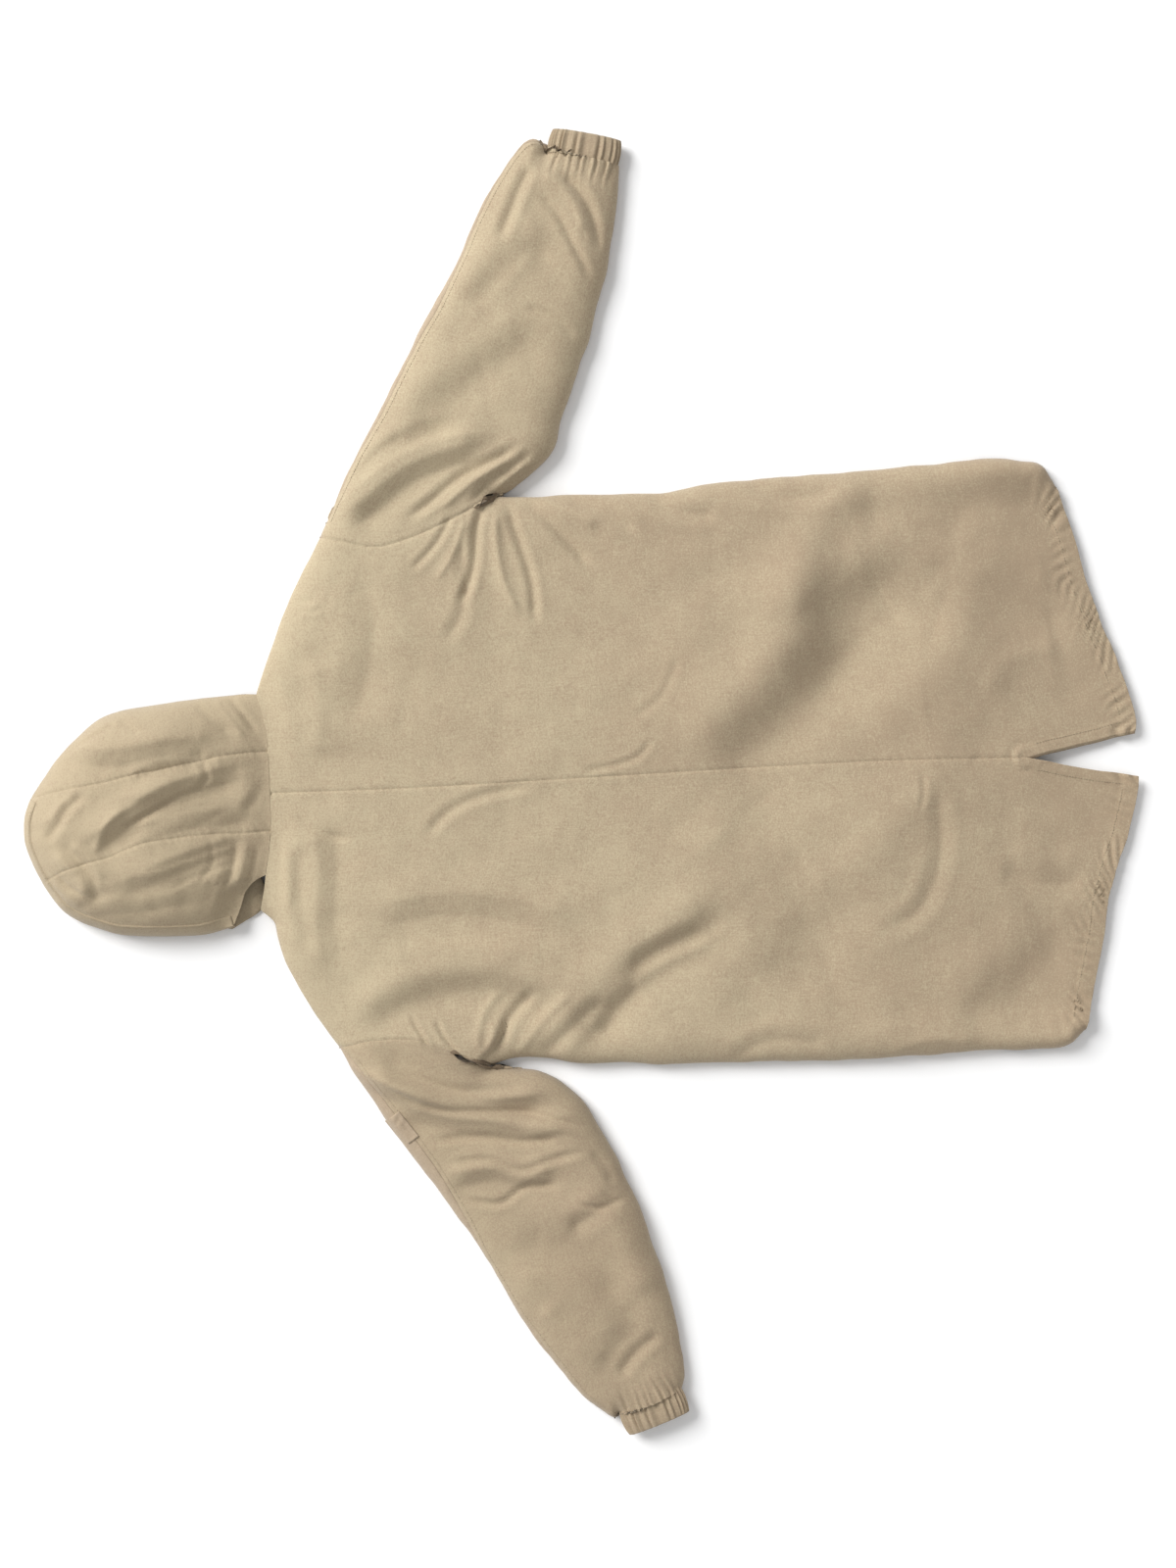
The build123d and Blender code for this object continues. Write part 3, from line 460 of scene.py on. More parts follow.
HOOD_FOLDS = [
    Crease(Fold.STEP, 15, 8.5, [(-62, 568), (-38, 530), (-8, 486), (10, 442), (24, 376)]),
    Crease(Fold.VALLEY, 3.2, 1.6, [(-34, 516), (-16, 482), (0, 448), (6, 412)]),
    Crease(Fold.VALLEY, 4, 1.4, [(-43, 530), (-20, 486), (-6, 443), (2, 404)]),
    Crease(Fold.RIDGE, 6, 3, [(-66, 552), (-47, 545), (-26, 532), (-12, 512)]),
    Crease(Fold.STEP, 9, 5, [(-124, 566), (-98, 560), (-78, 572), (-52, 598)]),
    Crease(Fold.RIDGE, 6, 2.6, [(-110, 550), (-86, 548), (-66, 560), (-48, 582)]),
    Crease(Fold.VALLEY, 5.6, 3.2, [(-48, 612), (-30, 594), (-12, 582), (6, 560)]),
    Crease(Fold.RIDGE, 7, 2.6, [(-30, 618), (-16, 598), (2, 584)]),
    Crease(Fold.STEP, 16, 7, [(60, 606), (48, 560), (44, 519), (52, 470), (52, 398)]),
    Crease(Fold.VALLEY, 3.6, 2.4, [(54, 584), (68, 554), (84, 524)]),
    Crease(Fold.RIDGE, 6, 2.6, [(64, 574), (78, 544), (90, 512)]),
    Crease(Fold.VALLEY, 4, 2, [(92, 524), (82, 512), (68, 496)]),
    Crease(Fold.STEP, 8, 4, [(18, 512), (32, 478), (38, 430)]),
    Crease(Fold.VALLEY, 4, 2.4, [(4, 436), (18, 424), (36, 430)]),
    Crease(Fold.STEP, 13, 4.5, [(-108, 536), (-90, 484), (-70, 436), (-58, 386)]),
    Crease(Fold.VALLEY, 3.6, 2, [(-88, 500), (-72, 448), (-56, 392)]),
    Crease(Fold.RIDGE, 9, 2.6, [(-94, 508), (-78, 456), (-64, 404)]),
    Crease(Fold.VALLEY, 3.2, 1.6, [(-106, 470), (-92, 436), (-80, 396)]),
    Crease(Fold.VALLEY, 9, 3, [(-134, 566), (-130, 500), (-124, 436)]),
    Crease(Fold.VALLEY, 4, 3.6, [(-94, 616), (-110, 602), (-128, 584), (-138, 560)]),
    Crease(Fold.RIDGE, 4, 2.8, [(-90, 606), (-106, 592), (-124, 570)]),
    Crease(Fold.VALLEY, 3.6, 2.6, [(-84, 598), (-100, 584), (-114, 560)]),
    Crease(Fold.VALLEY, 3.6, 3, [(-118, 394), (-98, 382), (-62, 372)]),
    Crease(Fold.RIDGE, 4, 2.6, [(-114, 402), (-88, 391), (-56, 384)]),
    Crease(Fold.VALLEY, 3.6, 2.6, [(-112, 412), (-84, 401), (-54, 397)]),
    Crease(Fold.RIDGE, 4, 2, [(-108, 424), (-82, 412), (-56, 410)]),
    Crease(Fold.VALLEY, 3.6, 1.8, [(-104, 440), (-80, 424), (-52, 424)]),
    Crease(Fold.VALLEY, 4, 4.4, [(108, 402), (92, 386), (64, 366)]),
    Crease(Fold.RIDGE, 5, 3, [(108, 418), (84, 398), (58, 380)]),
    Crease(Fold.VALLEY, 5, 2.4, [(104, 438), (84, 418), (66, 396)]),
    Crease(Fold.VALLEY, 6.4, 2.6, [(-24, 388), (-10, 372), (8, 362)]),
    Crease(Fold.STEP, 15, 4, [(-46, 510), (-32, 452), (-26, 370)]),
]


# ---------------------------------------------------------------- heights of the cloth


@dataclass(frozen=True)
class Seam:
    """A sewn line that draws the cloth down and puckers it."""

    line: np.ndarray
    depth: float = 0.9
    width: float = 1.9
    pucker: float = 0.45
    pitch: float = 11.0
    reach: float = 8.0  # of the puckers, to each side

    def height(self, x: np.ndarray, y: np.ndarray) -> np.ndarray:
        """Height that the seam adds at plan places.

        Args:
            x: Places across.
            y: Places along.

        Returns:
            Heights in millimetres.
        """
        low, high = self.line.min(axis=0) - 30, self.line.max(axis=0) + 30
        inside = (x > low[0]) & (x < high[0]) & (y > low[1]) & (y < high[1])
        out = np.zeros(x.shape)
        if not inside.any():
            return out
        gap, share = nearest(x[inside], y[inside], self.line)
        along = share * length_of(self.line)
        phase = 2.6 * noise(along, np.zeros_like(along), 31, 71) + 0.05 * gap
        wave = np.sin(2 * math.pi * (along / self.pitch + phase))
        out[inside] = (self.pucker * wave * np.exp(-((gap / self.reach) ** 2))
                       - self.depth * np.exp(-((gap / self.width) ** 2)))
        return out


@dataclass(frozen=True)
class Band:
    """A turned hem with its row of stitches and slanting puckers."""

    edge: np.ndarray
    width: float = 20.0
    pucker: float = 2.6
    pitch: float = 13.0
    slant: float = 0.8

    def height(self, x: np.ndarray, y: np.ndarray) -> np.ndarray:
        """Height that the hem adds at plan places.

        Args:
            x: Places across.
            y: Places along.

        Returns:
            Heights in millimetres.
        """
        gap, share = nearest(x, y, self.edge)
        gap = np.abs(gap)
        along = share * length_of(self.edge)
        phase = along / self.pitch + self.slant * gap / self.pitch + 1.5 * noise(along, gap, 37, 5)
        strength = np.clip(0.5 + 1.3 * noise(along, gap, 34, 6), 0, 1.4)
        near = np.exp(-(((gap - self.width * 0.8) / (self.width * 0.75)) ** 2))
        stitched = np.exp(-(((gap - self.width) / 1.7) ** 2))
        turned = 0.9 * (1 - smooth(gap, self.width, self.width + 3))
        return self.pucker * strength * np.sin(2 * math.pi * phase) * near - stitched + turned


def crumple(x: np.ndarray, y: np.ndarray, size: float, seed: int) -> np.ndarray:
    """Field of soft pads with sharper valleys between them, about -0.2 to 0.5.

    Args:
        x: Places across.
        y: Places along.
        size: Width of one pad.
        seed: Which field.

    Returns:
        The field at each place.
    """
    sway = 0.6 * size
    u = x + sway * noise(x, y, 1.8 * size, seed + 1)
    v = y + sway * noise(x, y, 1.8 * size, seed + 2)
    return np.sqrt(noise(u, v, size, seed) ** 2 + 0.004) - CRUMPLE_MEAN


class Relief:
    """Heights of the lying cloth over the floor, in millimetres."""

    def __init__(self) -> None:
        """Gathers the seams and the hems that shape the cloth."""
        self.seams = [Seam(CENTRE_SEAM)]
        for lines in SIDES.values():
            self.seams += [
                Seam(lines["armhole"], depth=1.1, width=2.0, pucker=0.3, pitch=17),
                Seam(lines["sleeve_seam"], depth=1.0, width=1.8, pucker=0.4, pitch=12)]
        self.hems = [Band(join(lines["hem"])) for lines in SIDES.values()]
        self.vents = [Band(lines["vent"], width=14, pucker=0.4, pitch=11)
                      for lines in SIDES.values()]
        self.hood_seams = [Seam(HOOD[name], depth=1.0, width=1.8, pucker=0.6, pitch=9)
                           for name in ("seam_left", "seam_right")]

    @staticmethod
    def rim(y: np.ndarray) -> np.ndarray:
        """Height of the side seams, which sink to the floor at the tail."""
        return TAIL_HEIGHT + (SEAM_HEIGHT - TAIL_HEIGHT) * smooth(y, -545, -430)

    @staticmethod
    def plateau(x: np.ndarray, y: np.ndarray) -> np.ndarray:
        """Height that the cloth reaches away from its edges.

        Args:
            x: Places across.
            y: Places along.

        Returns:
            Heights in millimetres.
        """
        body = (FILL_HEIGHT - 5 * smooth(-y, 200, 470) - 17 * smooth(-y, 400, 640)
                - 5 * smooth(y, 220, 345) - 3 * smooth(np.abs(x), 120, 300))
        arm = FILL_HEIGHT - 6 * smooth(np.abs(x), 560, 700)
        share = smooth(np.abs(x), 280, 350)
        return body * (1 - share) + arm * share

    @staticmethod
    def neck_height(x: np.ndarray) -> np.ndarray:
        """Height of the neck seam."""
        return 5.5 + 16.5 * np.sqrt(np.clip(1 - ((x + 12) / 142) ** 2, 0, 1))

    def swells(self, x: np.ndarray, y: np.ndarray) -> np.ndarray:
        """Uneven fill and crumpling that cover all of the cloth.

        Args:
            x: Places across.
            y: Places along.

        Returns:
            Heights in millimetres.
        """
        lean = 0.55
        u, v = x * math.cos(lean) + y * math.sin(lean), y * math.cos(lean) - x * math.sin(lean)
        wide = 5.0 * noise(x, y, 170, 11) + 2.4 * noise(u * 1.5, v * 0.8, 90, 12)
        pads = 4.6 * crumple(u * 0.6, v, 110, 13) + 1.2 * crumple(u * 0.7, v, 44, 14)
        fine = 0.3 * noise(u, v, 17, 15) + 0.55 * crumple(u * 0.6, v, 18, 16)
        worn = np.exp(-(((x - 212) / 24) ** 2) - ((y - 306) / 28) ** 2)
        return wide + pads + fine + 4.5 * worn * crumple(x, y, 13, 17)

    def upper(self, x: np.ndarray, y: np.ndarray) -> np.ndarray:
        """Outer face of the back and of the sleeves.

        Args:
            x: Places across.
            y: Places along.

        Returns:
            Heights in millimetres.
        """
        gap = distance(x, y, CLOSED)
        reach = 40 - 22 * smooth(-y, 380, 560)
        low, top = self.rim(y), self.plateau(x, y)
        bulk = self.swells(x, y)
        for fold in (*BACK_FOLDS, *SLEEVE_FOLDS):
            bulk += fold.height(x, y)
        open_edge = distance(x, y, [RIGHT["hem"], LEFT["hem"], RIGHT["vent"], LEFT["vent"]])
        bulk *= 0.25 + 0.75 * smooth(open_edge, 0, 60)
        z = low + (top + bulk - low) * bulge(gap, reach)
        neck = distance(x, y, [NECK_LINE])
        valley = self.neck_height(x)
        z = np.where(y > 250, valley + (z - valley) * (0.1 + 0.9 * smooth(neck, 0, 34)), z)
        for part in (*self.seams, *self.hems, *self.vents):
            z += part.height(x, y)
        for lines in SIDES.values():
            z += Gathers(lines["cuff"]).height(x, y)
        return np.maximum(z, TOP_CLEAR)

    def hood(self, x: np.ndarray, y: np.ndarray) -> np.ndarray:
        """Outer face of the hood.

        Args:
            x: Places across.
            y: Places along.

        Returns:
            Heights in millimetres.
        """
        gap = distance(x, y, [HOOD["outline"]])
        top = 30 + 30 * smooth(y, 372, 500) - 5 * smooth(y, 540, 640)
        bulk = 3.0 * noise(x, y, 90, 31) + 5.0 * crumple(x, 0.7 * y, 58, 32)
        bulk += 2.0 * crumple(x, 0.6 * y, 28, 33) + 0.5 * noise(x, y, 12, 34)
        for fold in HOOD_FOLDS:
            bulk += fold.height(x, y)
        z = 5 + (top + bulk - 5) * bulge(gap, 74)
        neck = distance(x, y, [NECK_LINE])
        valley = self.neck_height(x)
        z = valley + (z - valley) * (0.1 + 0.9 * smooth(neck, 0, 30))
        lip = distance(x, y, [HOOD["lip"]])
        z = np.where(x < -90, z + (17 - z) * (1 - smooth(lip, 0, 30)) * smooth(-x, 95, 120), z)
        for seam in self.hood_seams:
            z += seam.height(x, y)
        z += 1.1 * (1 - smooth(distance(x, y, [HOOD["brim"]]), 12, 15))
        return np.maximum(z, TOP_CLEAR)

    def under(self, x: np.ndarray, y: np.ndarray) -> np.ndarray:
        """Outer face of the cloth that lies on the floor.

        Args:
            x: Places across.
            y: Places along.

        Returns:
            Heights in millimetres.
        """
        gap = distance(x, y, CLOSED)
        zip_rise = 2.0 * (1 - smooth(np.abs(x - SEAM_X), 12, 42))
        flat = 1.0 + 0.5 * np.abs(noise(x, y, 60, 41)) + zip_rise
        edge = self.rim(y) - 0.7
        return flat + (edge - flat) * (1 - bulge(gap, 16))


@dataclass(frozen=True)
class Gathers:
    """Pleats that an elastic cuff draws into the end of a sleeve."""

    line: np.ndarray
    pleats: float = 9.0
    depth: float = 1.7
    reach: float = 40.0

    def height(self, x: np.ndarray, y: np.ndarray) -> np.ndarray:
        """Height that the pleats add at plan places.

        Args:
            x: Places across.
            y: Places along.

        Returns:
            Heights in millimetres.
        """
        gap, share = nearest(x, y, self.line)
        gap = np.abs(gap)
        strength = self.depth * (1 - smooth(gap, 0, self.reach))
        lean = share + 0.03 * noise(gap, share * 90, 22, 51)
        return strength * (np.sin(2 * math.pi * self.pleats * lean) * 0.7
                           + np.sin(2 * math.pi * self.pleats * 1.62 * lean + 1) * 0.5)


# ---------------------------------------------------------------- grids and shells


def spaced(length: float, step: float, start: float = 0.0, end: float = 0.0) -> np.ndarray:
    """Shares along a length, closer together where the cloth turns over an edge.

    Args:
        length: Real length, in millimetres.
        step: Spacing away from the ends.
        start: Radius that the cloth turns through at 0, or 0.
        end: Radius that it turns through at 1, or 0.

    Returns:
        Shares from 0 to 1.
    """

    def turn(radius: float) -> np.ndarray:
        """Places through a turn.

        Args:
            radius: Of the turn.

        Returns:
            Distances from its edge, rising.
        """
        if radius <= 0:
            return np.array([0.0])
        angles = np.arange(0, 12) * min(math.sqrt(1.1 * step / radius) / 2.2, 0.3)
        places = radius * (1 - np.cos(angles[angles < 1.3]))
        grown = np.where(np.diff(places) > step)[0]
        return places[: grown[0] + 1] if len(grown) else places

    head, tail = turn(start), turn(end)
    middle = length - head[-1] - tail[-1]
    count = max(2, int(round(middle / step)))
    body = np.linspace(head[-1], length - tail[-1], count + 1)
    return np.concatenate([head[:-1], body, length - tail[::-1][1:]]) / length


def coons(south: np.ndarray, east: np.ndarray, north: np.ndarray, west: np.ndarray,
          across: np.ndarray, along: np.ndarray) -> tuple[np.ndarray, np.ndarray]:
    """Plan grid between four lines that meet at their ends.

    Args:
        south: From the south-west corner to the south-east one.
        east: From the south-east corner to the north-east one.
        north: From the north-west corner to the north-east one.
        west: From the south-west corner to the north-west one.
        across: Shares of the columns.
        along: Shares of the rows.

    Returns:
        Places across and along, one row of the grid for each share along.
    """
    s, n = resample(south, across)[None], resample(north, across)[None]
    w, e = resample(west, along)[:, None], resample(east, along)[:, None]
    u, v = across[None, :, None], along[:, None, None]
    corners = ((1 - u) * (1 - v) * south[0] + u * (1 - v) * south[-1]
               + (1 - u) * v * north[0] + u * v * north[-1])
    grid = (1 - v) * s + v * n + (1 - u) * w + u * e - corners
    return grid[..., 0], grid[..., 1]


class Edge(Enum):
    """Edge of a grid: its axis, and whether it is the last line along it."""

    SOUTH = (0, False)
    NORTH = (0, True)
    WEST = (1, False)
    EAST = (1, True)


@dataclass
class Grid:
    """Rows of points on one face of a piece of cloth, in millimetres."""

    points: np.ndarray
    outward: float = 1.0  # 1 where the outer face looks up, -1 where it looks down

    @classmethod
    def at(cls, plan: tuple[np.ndarray, np.ndarray], height: Field,
           outward: float = 1.0) -> "Grid":
        """Grid at the heights of a field.

        Args:
            plan: Places across and along.
            height: The field.
            outward: Which way the outer face looks.

        Returns:
            The grid.
        """
        x, y = plan
        return cls(np.stack([x, y, height(x, y)], axis=-1), outward)

    def normals(self) -> np.ndarray:
        """Directions out of the cloth's outer face.

        Returns:
            A unit vector for each point.
        """
        rows, columns = np.gradient(self.points, axis=0), np.gradient(self.points, axis=1)
        n = np.cross(columns, rows)
        size = np.linalg.norm(n, axis=-1, keepdims=True)
        n = np.where(size > TINY, n / np.maximum(size, TINY), (0, 0, 1))
        middle = n[n.shape[0] // 4, n.shape[1] // 2, 2]
        return n * (self.outward if middle > 0 else -self.outward)

    def sunk(self, depth: float) -> "Grid":
        """The same cloth moved inward by a depth."""
        return Grid(self.points - self.normals() * depth, self.outward)

    def tucked(self, *edges: "Edge", reach: float = 4.0, drop: float = 2.0) -> "Grid":
        """The same cloth with seam allowances under its neighbours.

        Args:
            edges: Where the allowances go.
            reach: How far they go.
            drop: How deep they end.

        Returns:
            The longer grid.
        """
        points = self.points
        for edge in edges:
            axis, last = edge.value
            lines = np.moveaxis(points, axis, 0)
            first, second = (lines[-1], lines[-3]) if last else (lines[0], lines[2])
            away = first - second
            away[:, 2] = 0
            away /= np.maximum(np.linalg.norm(away, axis=1, keepdims=True), 1e-6)
            extra = [first + away * reach * s - np.array([0, 0, drop * s**0.5]) for s in (0.3, 1.0)]
            for line in extra:
                line[:, 2] = np.maximum(line[:, 2], TOP_CLEAR)
            lines = [*lines, *extra] if last else [*extra[::-1], *lines]
            points = np.moveaxis(np.array(lines), 0, axis)
        return Grid(points, self.outward)

    def part(self, rows: slice, columns: slice) -> "Grid":
        """Some rows and columns of the grid."""
        return Grid(self.points[rows, columns], self.outward)

    def shell(self, thickness: float, loop: bool = False) -> "Shape":
        """Closed thin shell inward from the grid.

        Args:
            thickness: Of the cloth, in millimetres.
            loop: Whether the last column meets the first one.

        Returns:
            The shell.
        """
        r, c, _ = self.points.shape
        inner = self.points - self.normals() * thickness
        inner[..., 2] = np.maximum(inner[..., 2], FLOOR_CLEAR)
        index = np.arange(r * c).reshape(r, c)
        wide = np.column_stack([index, index[:, 0]]) if loop else index
        quads = np.stack([wide[:-1, :-1], wide[:-1, 1:], wide[1:, 1:], wide[1:, :-1]],
                         axis=-1).reshape(-1, 4)
        rings = [wide[0], wide[-1, ::-1]]
        if not loop:
            rings = [np.concatenate([index[0], index[1:, -1], index[-1, -2::-1], index[-2::-1, 0]])]
        rim = np.vstack([np.stack([g[1:], g[:-1], g[:-1] + r * c, g[1:] + r * c], axis=-1)
                         for g in rings])
        faces = np.vstack([quads, quads[:, ::-1] + r * c, rim])
        columns, rows = np.gradient(self.points, axis=1), np.gradient(self.points, axis=0)
        if np.cross(columns, rows)[r // 4, c // 2, 2] * self.outward < 0:
            faces = faces[:, ::-1]
        u = np.cumsum(np.linalg.norm(np.diff(self.points, axis=1, prepend=self.points[:, :1]),
                                     axis=2), axis=1)
        v = np.cumsum(np.linalg.norm(np.diff(self.points, axis=0, prepend=self.points[:1]),
                                     axis=2), axis=0)
        uv = np.stack([u, v], axis=-1).reshape(-1, 2)
        return Shape(np.vstack([self.points.reshape(-1, 3), inner.reshape(-1, 3)]), faces,
                     np.vstack([uv, uv]))


@dataclass
class Shape:
    """Points, faces and cloth coordinates of a mesh, in millimetres."""

    points: np.ndarray
    faces: np.ndarray
    uv: Optional[np.ndarray] = None

    def __add__(self, other: "Shape") -> "Shape":
        """Both shapes in one.

        Args:
            other: The second shape, with faces of four corners as in the first.

        Returns:
            One shape.
        """
        uv = [s.uv if s.uv is not None else s.points[:, :2] for s in (self, other)]
        return Shape(np.vstack([self.points, other.points]),
                     np.vstack([self.faces, other.faces + len(self.points)]), np.vstack(uv))

    def area(self) -> float:
        """Surface of the shape, in square metres."""
        a, b, c, d = (self.points[self.faces[:, k]] for k in range(4))
        return float(np.linalg.norm(np.cross(c - a, d - b), axis=1).sum()) / 2 * MM**2

    def object(self, name: str) -> bpy.types.Object:
        """Blender object of the shape.

        Args:
            name: Of the object.

        Returns:
            The object, linked to the scene.
        """
        mesh = bpy.data.meshes.new(name)
        mesh.from_pydata((self.points * MM).tolist(), [], self.faces.tolist())
        mesh.polygons.foreach_set("use_smooth", np.ones(len(mesh.polygons), bool))
        if self.uv is not None:
            corners = np.empty(len(mesh.loops), int)
            mesh.loops.foreach_get("vertex_index", corners)
            layer = mesh.uv_layers.new(name="cloth")
            layer.data.foreach_set("uv", (self.uv[corners] * MM).ravel())
        mesh.validate()
        mesh.update()
        made = bpy.data.objects.new(name, mesh)
        bpy.context.scene.collection.objects.link(made)
        return made


def tube_faces(count: int) -> np.ndarray:
    """Faces of a tube of square rings, closed at both ends.

    Args:
        count: How many rings, of four points each.

    Returns:
        The faces.
    """
    index = np.arange(count * 4).reshape(count, 4)
    after = np.roll(index, -1, axis=1)
    sides = np.stack([index[:-1], after[:-1], after[1:], index[1:]], axis=-1).reshape(-1, 4)
    return np.vstack([sides, index[:1, ::-1], index[-1:]])


def thread(path: np.ndarray, radius: float) -> Shape:
    """Short thread of square section with soft corners, closed at both ends.

    Args:
        path: Points along its middle.
        radius: Of the thread.

    Returns:
        The thread.
    """
    ahead = np.gradient(path, axis=0)
    ahead /= np.maximum(np.linalg.norm(ahead, axis=1, keepdims=True), TINY)
    side = np.cross(ahead, (0.03, 0.05, 1.0))
    side /= np.maximum(np.linalg.norm(side, axis=1, keepdims=True), TINY)
    up = np.cross(side, ahead)
    turn = (np.arange(4) + 0.5) * math.pi / 2
    ring = np.cos(turn)[:, None] * side[:, None] + np.sin(turn)[:, None] * up[:, None]
    return Shape((path[:, None] + ring * radius).reshape(-1, 3), tube_faces(len(path)))


def together(shapes: Sequence[Shape]) -> Shape:
    """Several shapes in one.

    Args:
        shapes: Each with faces of four corners.

    Returns:
        One shape.
    """
    starts = np.cumsum([0] + [len(s.points) for s in shapes[:-1]])
    return Shape(np.vstack([s.points for s in shapes]),
                 np.vstack([s.faces + start for s, start in zip(shapes, starts)]),
                 np.vstack([s.points[:, :2] if s.uv is None else s.uv for s in shapes]))


def stitches(line: np.ndarray, height: Field, pitch: float = 3.4, size: float = 2.5,
             radius: float = 0.3) -> Shape:
    """Row of sewing stitches that lies on the cloth.

    Args:
        line: Where the row runs, in plan.
        height: Of the cloth's outer face.
        pitch: From one stitch to the next.
        size: Length of a stitch.
        radius: Of its thread.

    Returns:
        The row.
    """
    total = length_of(line)
    starts = np.arange(pitch, total - pitch, pitch)
    flat = resample(line, ((starts[:, None] + np.linspace(0, size, 4)) / total).ravel())
    z = height(flat[:, 0], flat[:, 1])
    places = np.column_stack([flat, z]).reshape(-1, 4, 3)
    places[..., 2] += np.array([-0.25, 0.25, 0.25, -0.25])
    return together([thread(path, radius) for path in places])


def inset(line: np.ndarray, gap: float) -> np.ndarray:
    """Line beside another, on its left, in plan.

    Args:
        line: The other.
        gap: Distance between them.

    Returns:
        The line.
    """
    ahead = np.gradient(line, axis=0)
    ahead /= np.linalg.norm(ahead, axis=1, keepdims=True)
    return line + np.stack([-ahead[:, 1], ahead[:, 0]], axis=1) * gap


def ribbon(line: np.ndarray, gaps: np.ndarray) -> tuple[np.ndarray, np.ndarray]:
    """Plan grid of a strip that runs along a line.

    Args:
        line: The line.
        gaps: Distance of each row from it.

    Returns:
        Places across and along, one row for each gap.
    """
    rows = np.stack([inset(line, gap) for gap in gaps])
    return rows[..., 0], rows[..., 1]


# ---------------------------------------------------------------- finishes


class Kind(Enum):
    """What a shader value carries."""

    NUMBER = "number"
    VECTOR = "vector"
    COLOUR = "colour"


Operand = Union["Value", float, tuple]


class Value:
    """Output socket of a shader node, with arithmetic that adds nodes."""

    def __init__(self, graph: "Graph", socket: bpy.types.NodeSocket, kind: Kind) -> None:
        """Keeps the socket, its graph and what it carries."""
        self.graph, self.socket, self.kind = graph, socket, kind

    def _with(self, operation: str, first: Operand, second: Operand) -> "Value":
        """Value of two operands, from the node that suits what they carry.

        Args:
            operation: Of the node, in capital letters.
            first: Left operand.
            second: Right operand.

        Returns:
            The result.
        """
        if self.kind is Kind.COLOUR:
            return self.graph.node("ShaderNodeMix", {"data_type": "RGBA", "blend_type": operation},
                                   {0: 1.0, 6: first, 7: second}, 2, Kind.COLOUR)
        if self.kind is Kind.VECTOR:
            return self.graph.node("ShaderNodeVectorMath", {"operation": operation},
                                   {0: first, 1: second}, 0, Kind.VECTOR)
        return self.graph.node("ShaderNodeMath", {"operation": operation}, {0: first, 1: second})

    def __add__(self, other: Operand) -> "Value":
        """Sum."""
        return self._with("ADD", self, other)

    def __radd__(self, other: Operand) -> "Value":
        """Sum with the value on the right."""
        return self._with("ADD", other, self)

    def __sub__(self, other: Operand) -> "Value":
        """Difference."""
        return self._with("SUBTRACT", self, other)

    def __rsub__(self, other: Operand) -> "Value":
        """Difference with the value on the right."""
        return self._with("SUBTRACT", other, self)

    def __mul__(self, other: Operand) -> "Value":
        """Product."""
        return self._with("MULTIPLY", self, other)

    def __rmul__(self, other: Operand) -> "Value":
        """Product with the value on the right."""
        return self._with("MULTIPLY", other, self)

    def clipped(self) -> "Value":
        """The same number kept between 0 and 1."""
        return self.graph.node("ShaderNodeMath", {"operation": "ADD", "use_clamp": True},
                               {0: self, 1: 0.0})


class Graph:
    """Node graph of one material."""

    def __init__(self, name: str) -> None:
        """Starts an empty material.

        Args:
            name: Of the material.
        """
        self.material = bpy.data.materials.new(name)
        self.material.use_nodes = True
        self.nodes, self.links = self.material.node_tree.nodes, self.material.node_tree.links
        self.nodes.clear()

    def node(self, form: str, settings: Optional[dict] = None, inputs: Optional[dict] = None,
             output: Union[int, str] = 0, kind: Kind = Kind.NUMBER) -> Value:
        """One shader node.

        Args:
            form: Type of the node.
            settings: Its own properties, set before its sockets.
            inputs: Values or links by socket name or number.
            output: Which of its outputs is handed back.
            kind: What that output carries.

        Returns:
            The output.
        """
        made = self.nodes.new(form)
        for key, value in (settings or {}).items():
            setattr(made, key, value)
        for key, value in (inputs or {}).items():
            if isinstance(value, Value):
                self.links.new(value.socket, made.inputs[key])
            else:
                made.inputs[key].default_value = value
        socket = made.outputs[output] if len(made.outputs) else None
        return Value(self, socket, kind)

    def noise(self, where: Value, scale: float, detail: float = 2.0) -> Value:
        """Noise from 0 to 1, with a scale in swells for each metre."""
        return self.node("ShaderNodeTexNoise", {}, {"Vector": where, "Scale": scale,
                                                    "Detail": detail})

    def place(self) -> Value:
        """Place on the object, in metres."""
        return self.node("ShaderNodeTexCoord", {}, {}, "Object", Kind.VECTOR)

    def cloth(self) -> Value:
        """Place along and across the yarns, in metres."""
        return self.node("ShaderNodeUVMap", {"uv_map": "cloth"}, {}, 0, Kind.VECTOR)

    def blend(self, share: Value, low: Rgb, high: Rgb) -> Value:
        """Colour between two others.

        Args:
            share: 0 or less for the first one, 1 or more for the second.
            low: First colour.
            high: Second colour.

        Returns:
            The colour.
        """
        return self.node("ShaderNodeMix", {"data_type": "RGBA"},
                         {0: share.clipped(), 6: (*low, 1), 7: (*high, 1)}, 2, Kind.COLOUR)

    def bump(self, strength: float, distance: float, height: Value) -> Value:
        """Normal of a surface with a fine relief.

        Args:
            strength: Of the relief, from 0 to 1.
            distance: Its depth, in metres.
            height: The relief.

        Returns:
            The normal.
        """
        return self.node("ShaderNodeBump", {}, {"Strength": strength, "Distance": distance,
                                                "Height": height}, 0, Kind.VECTOR)

    def surface(self, inputs: dict) -> bpy.types.Material:
        """Finishes the material with one principled surface.

        Args:
            inputs: Its values and links.

        Returns:
            The material.
        """
        shader = self.node("ShaderNodeBsdfPrincipled", {}, inputs)
        self.node("ShaderNodeOutputMaterial", {}, {"Surface": shader})
        return self.material


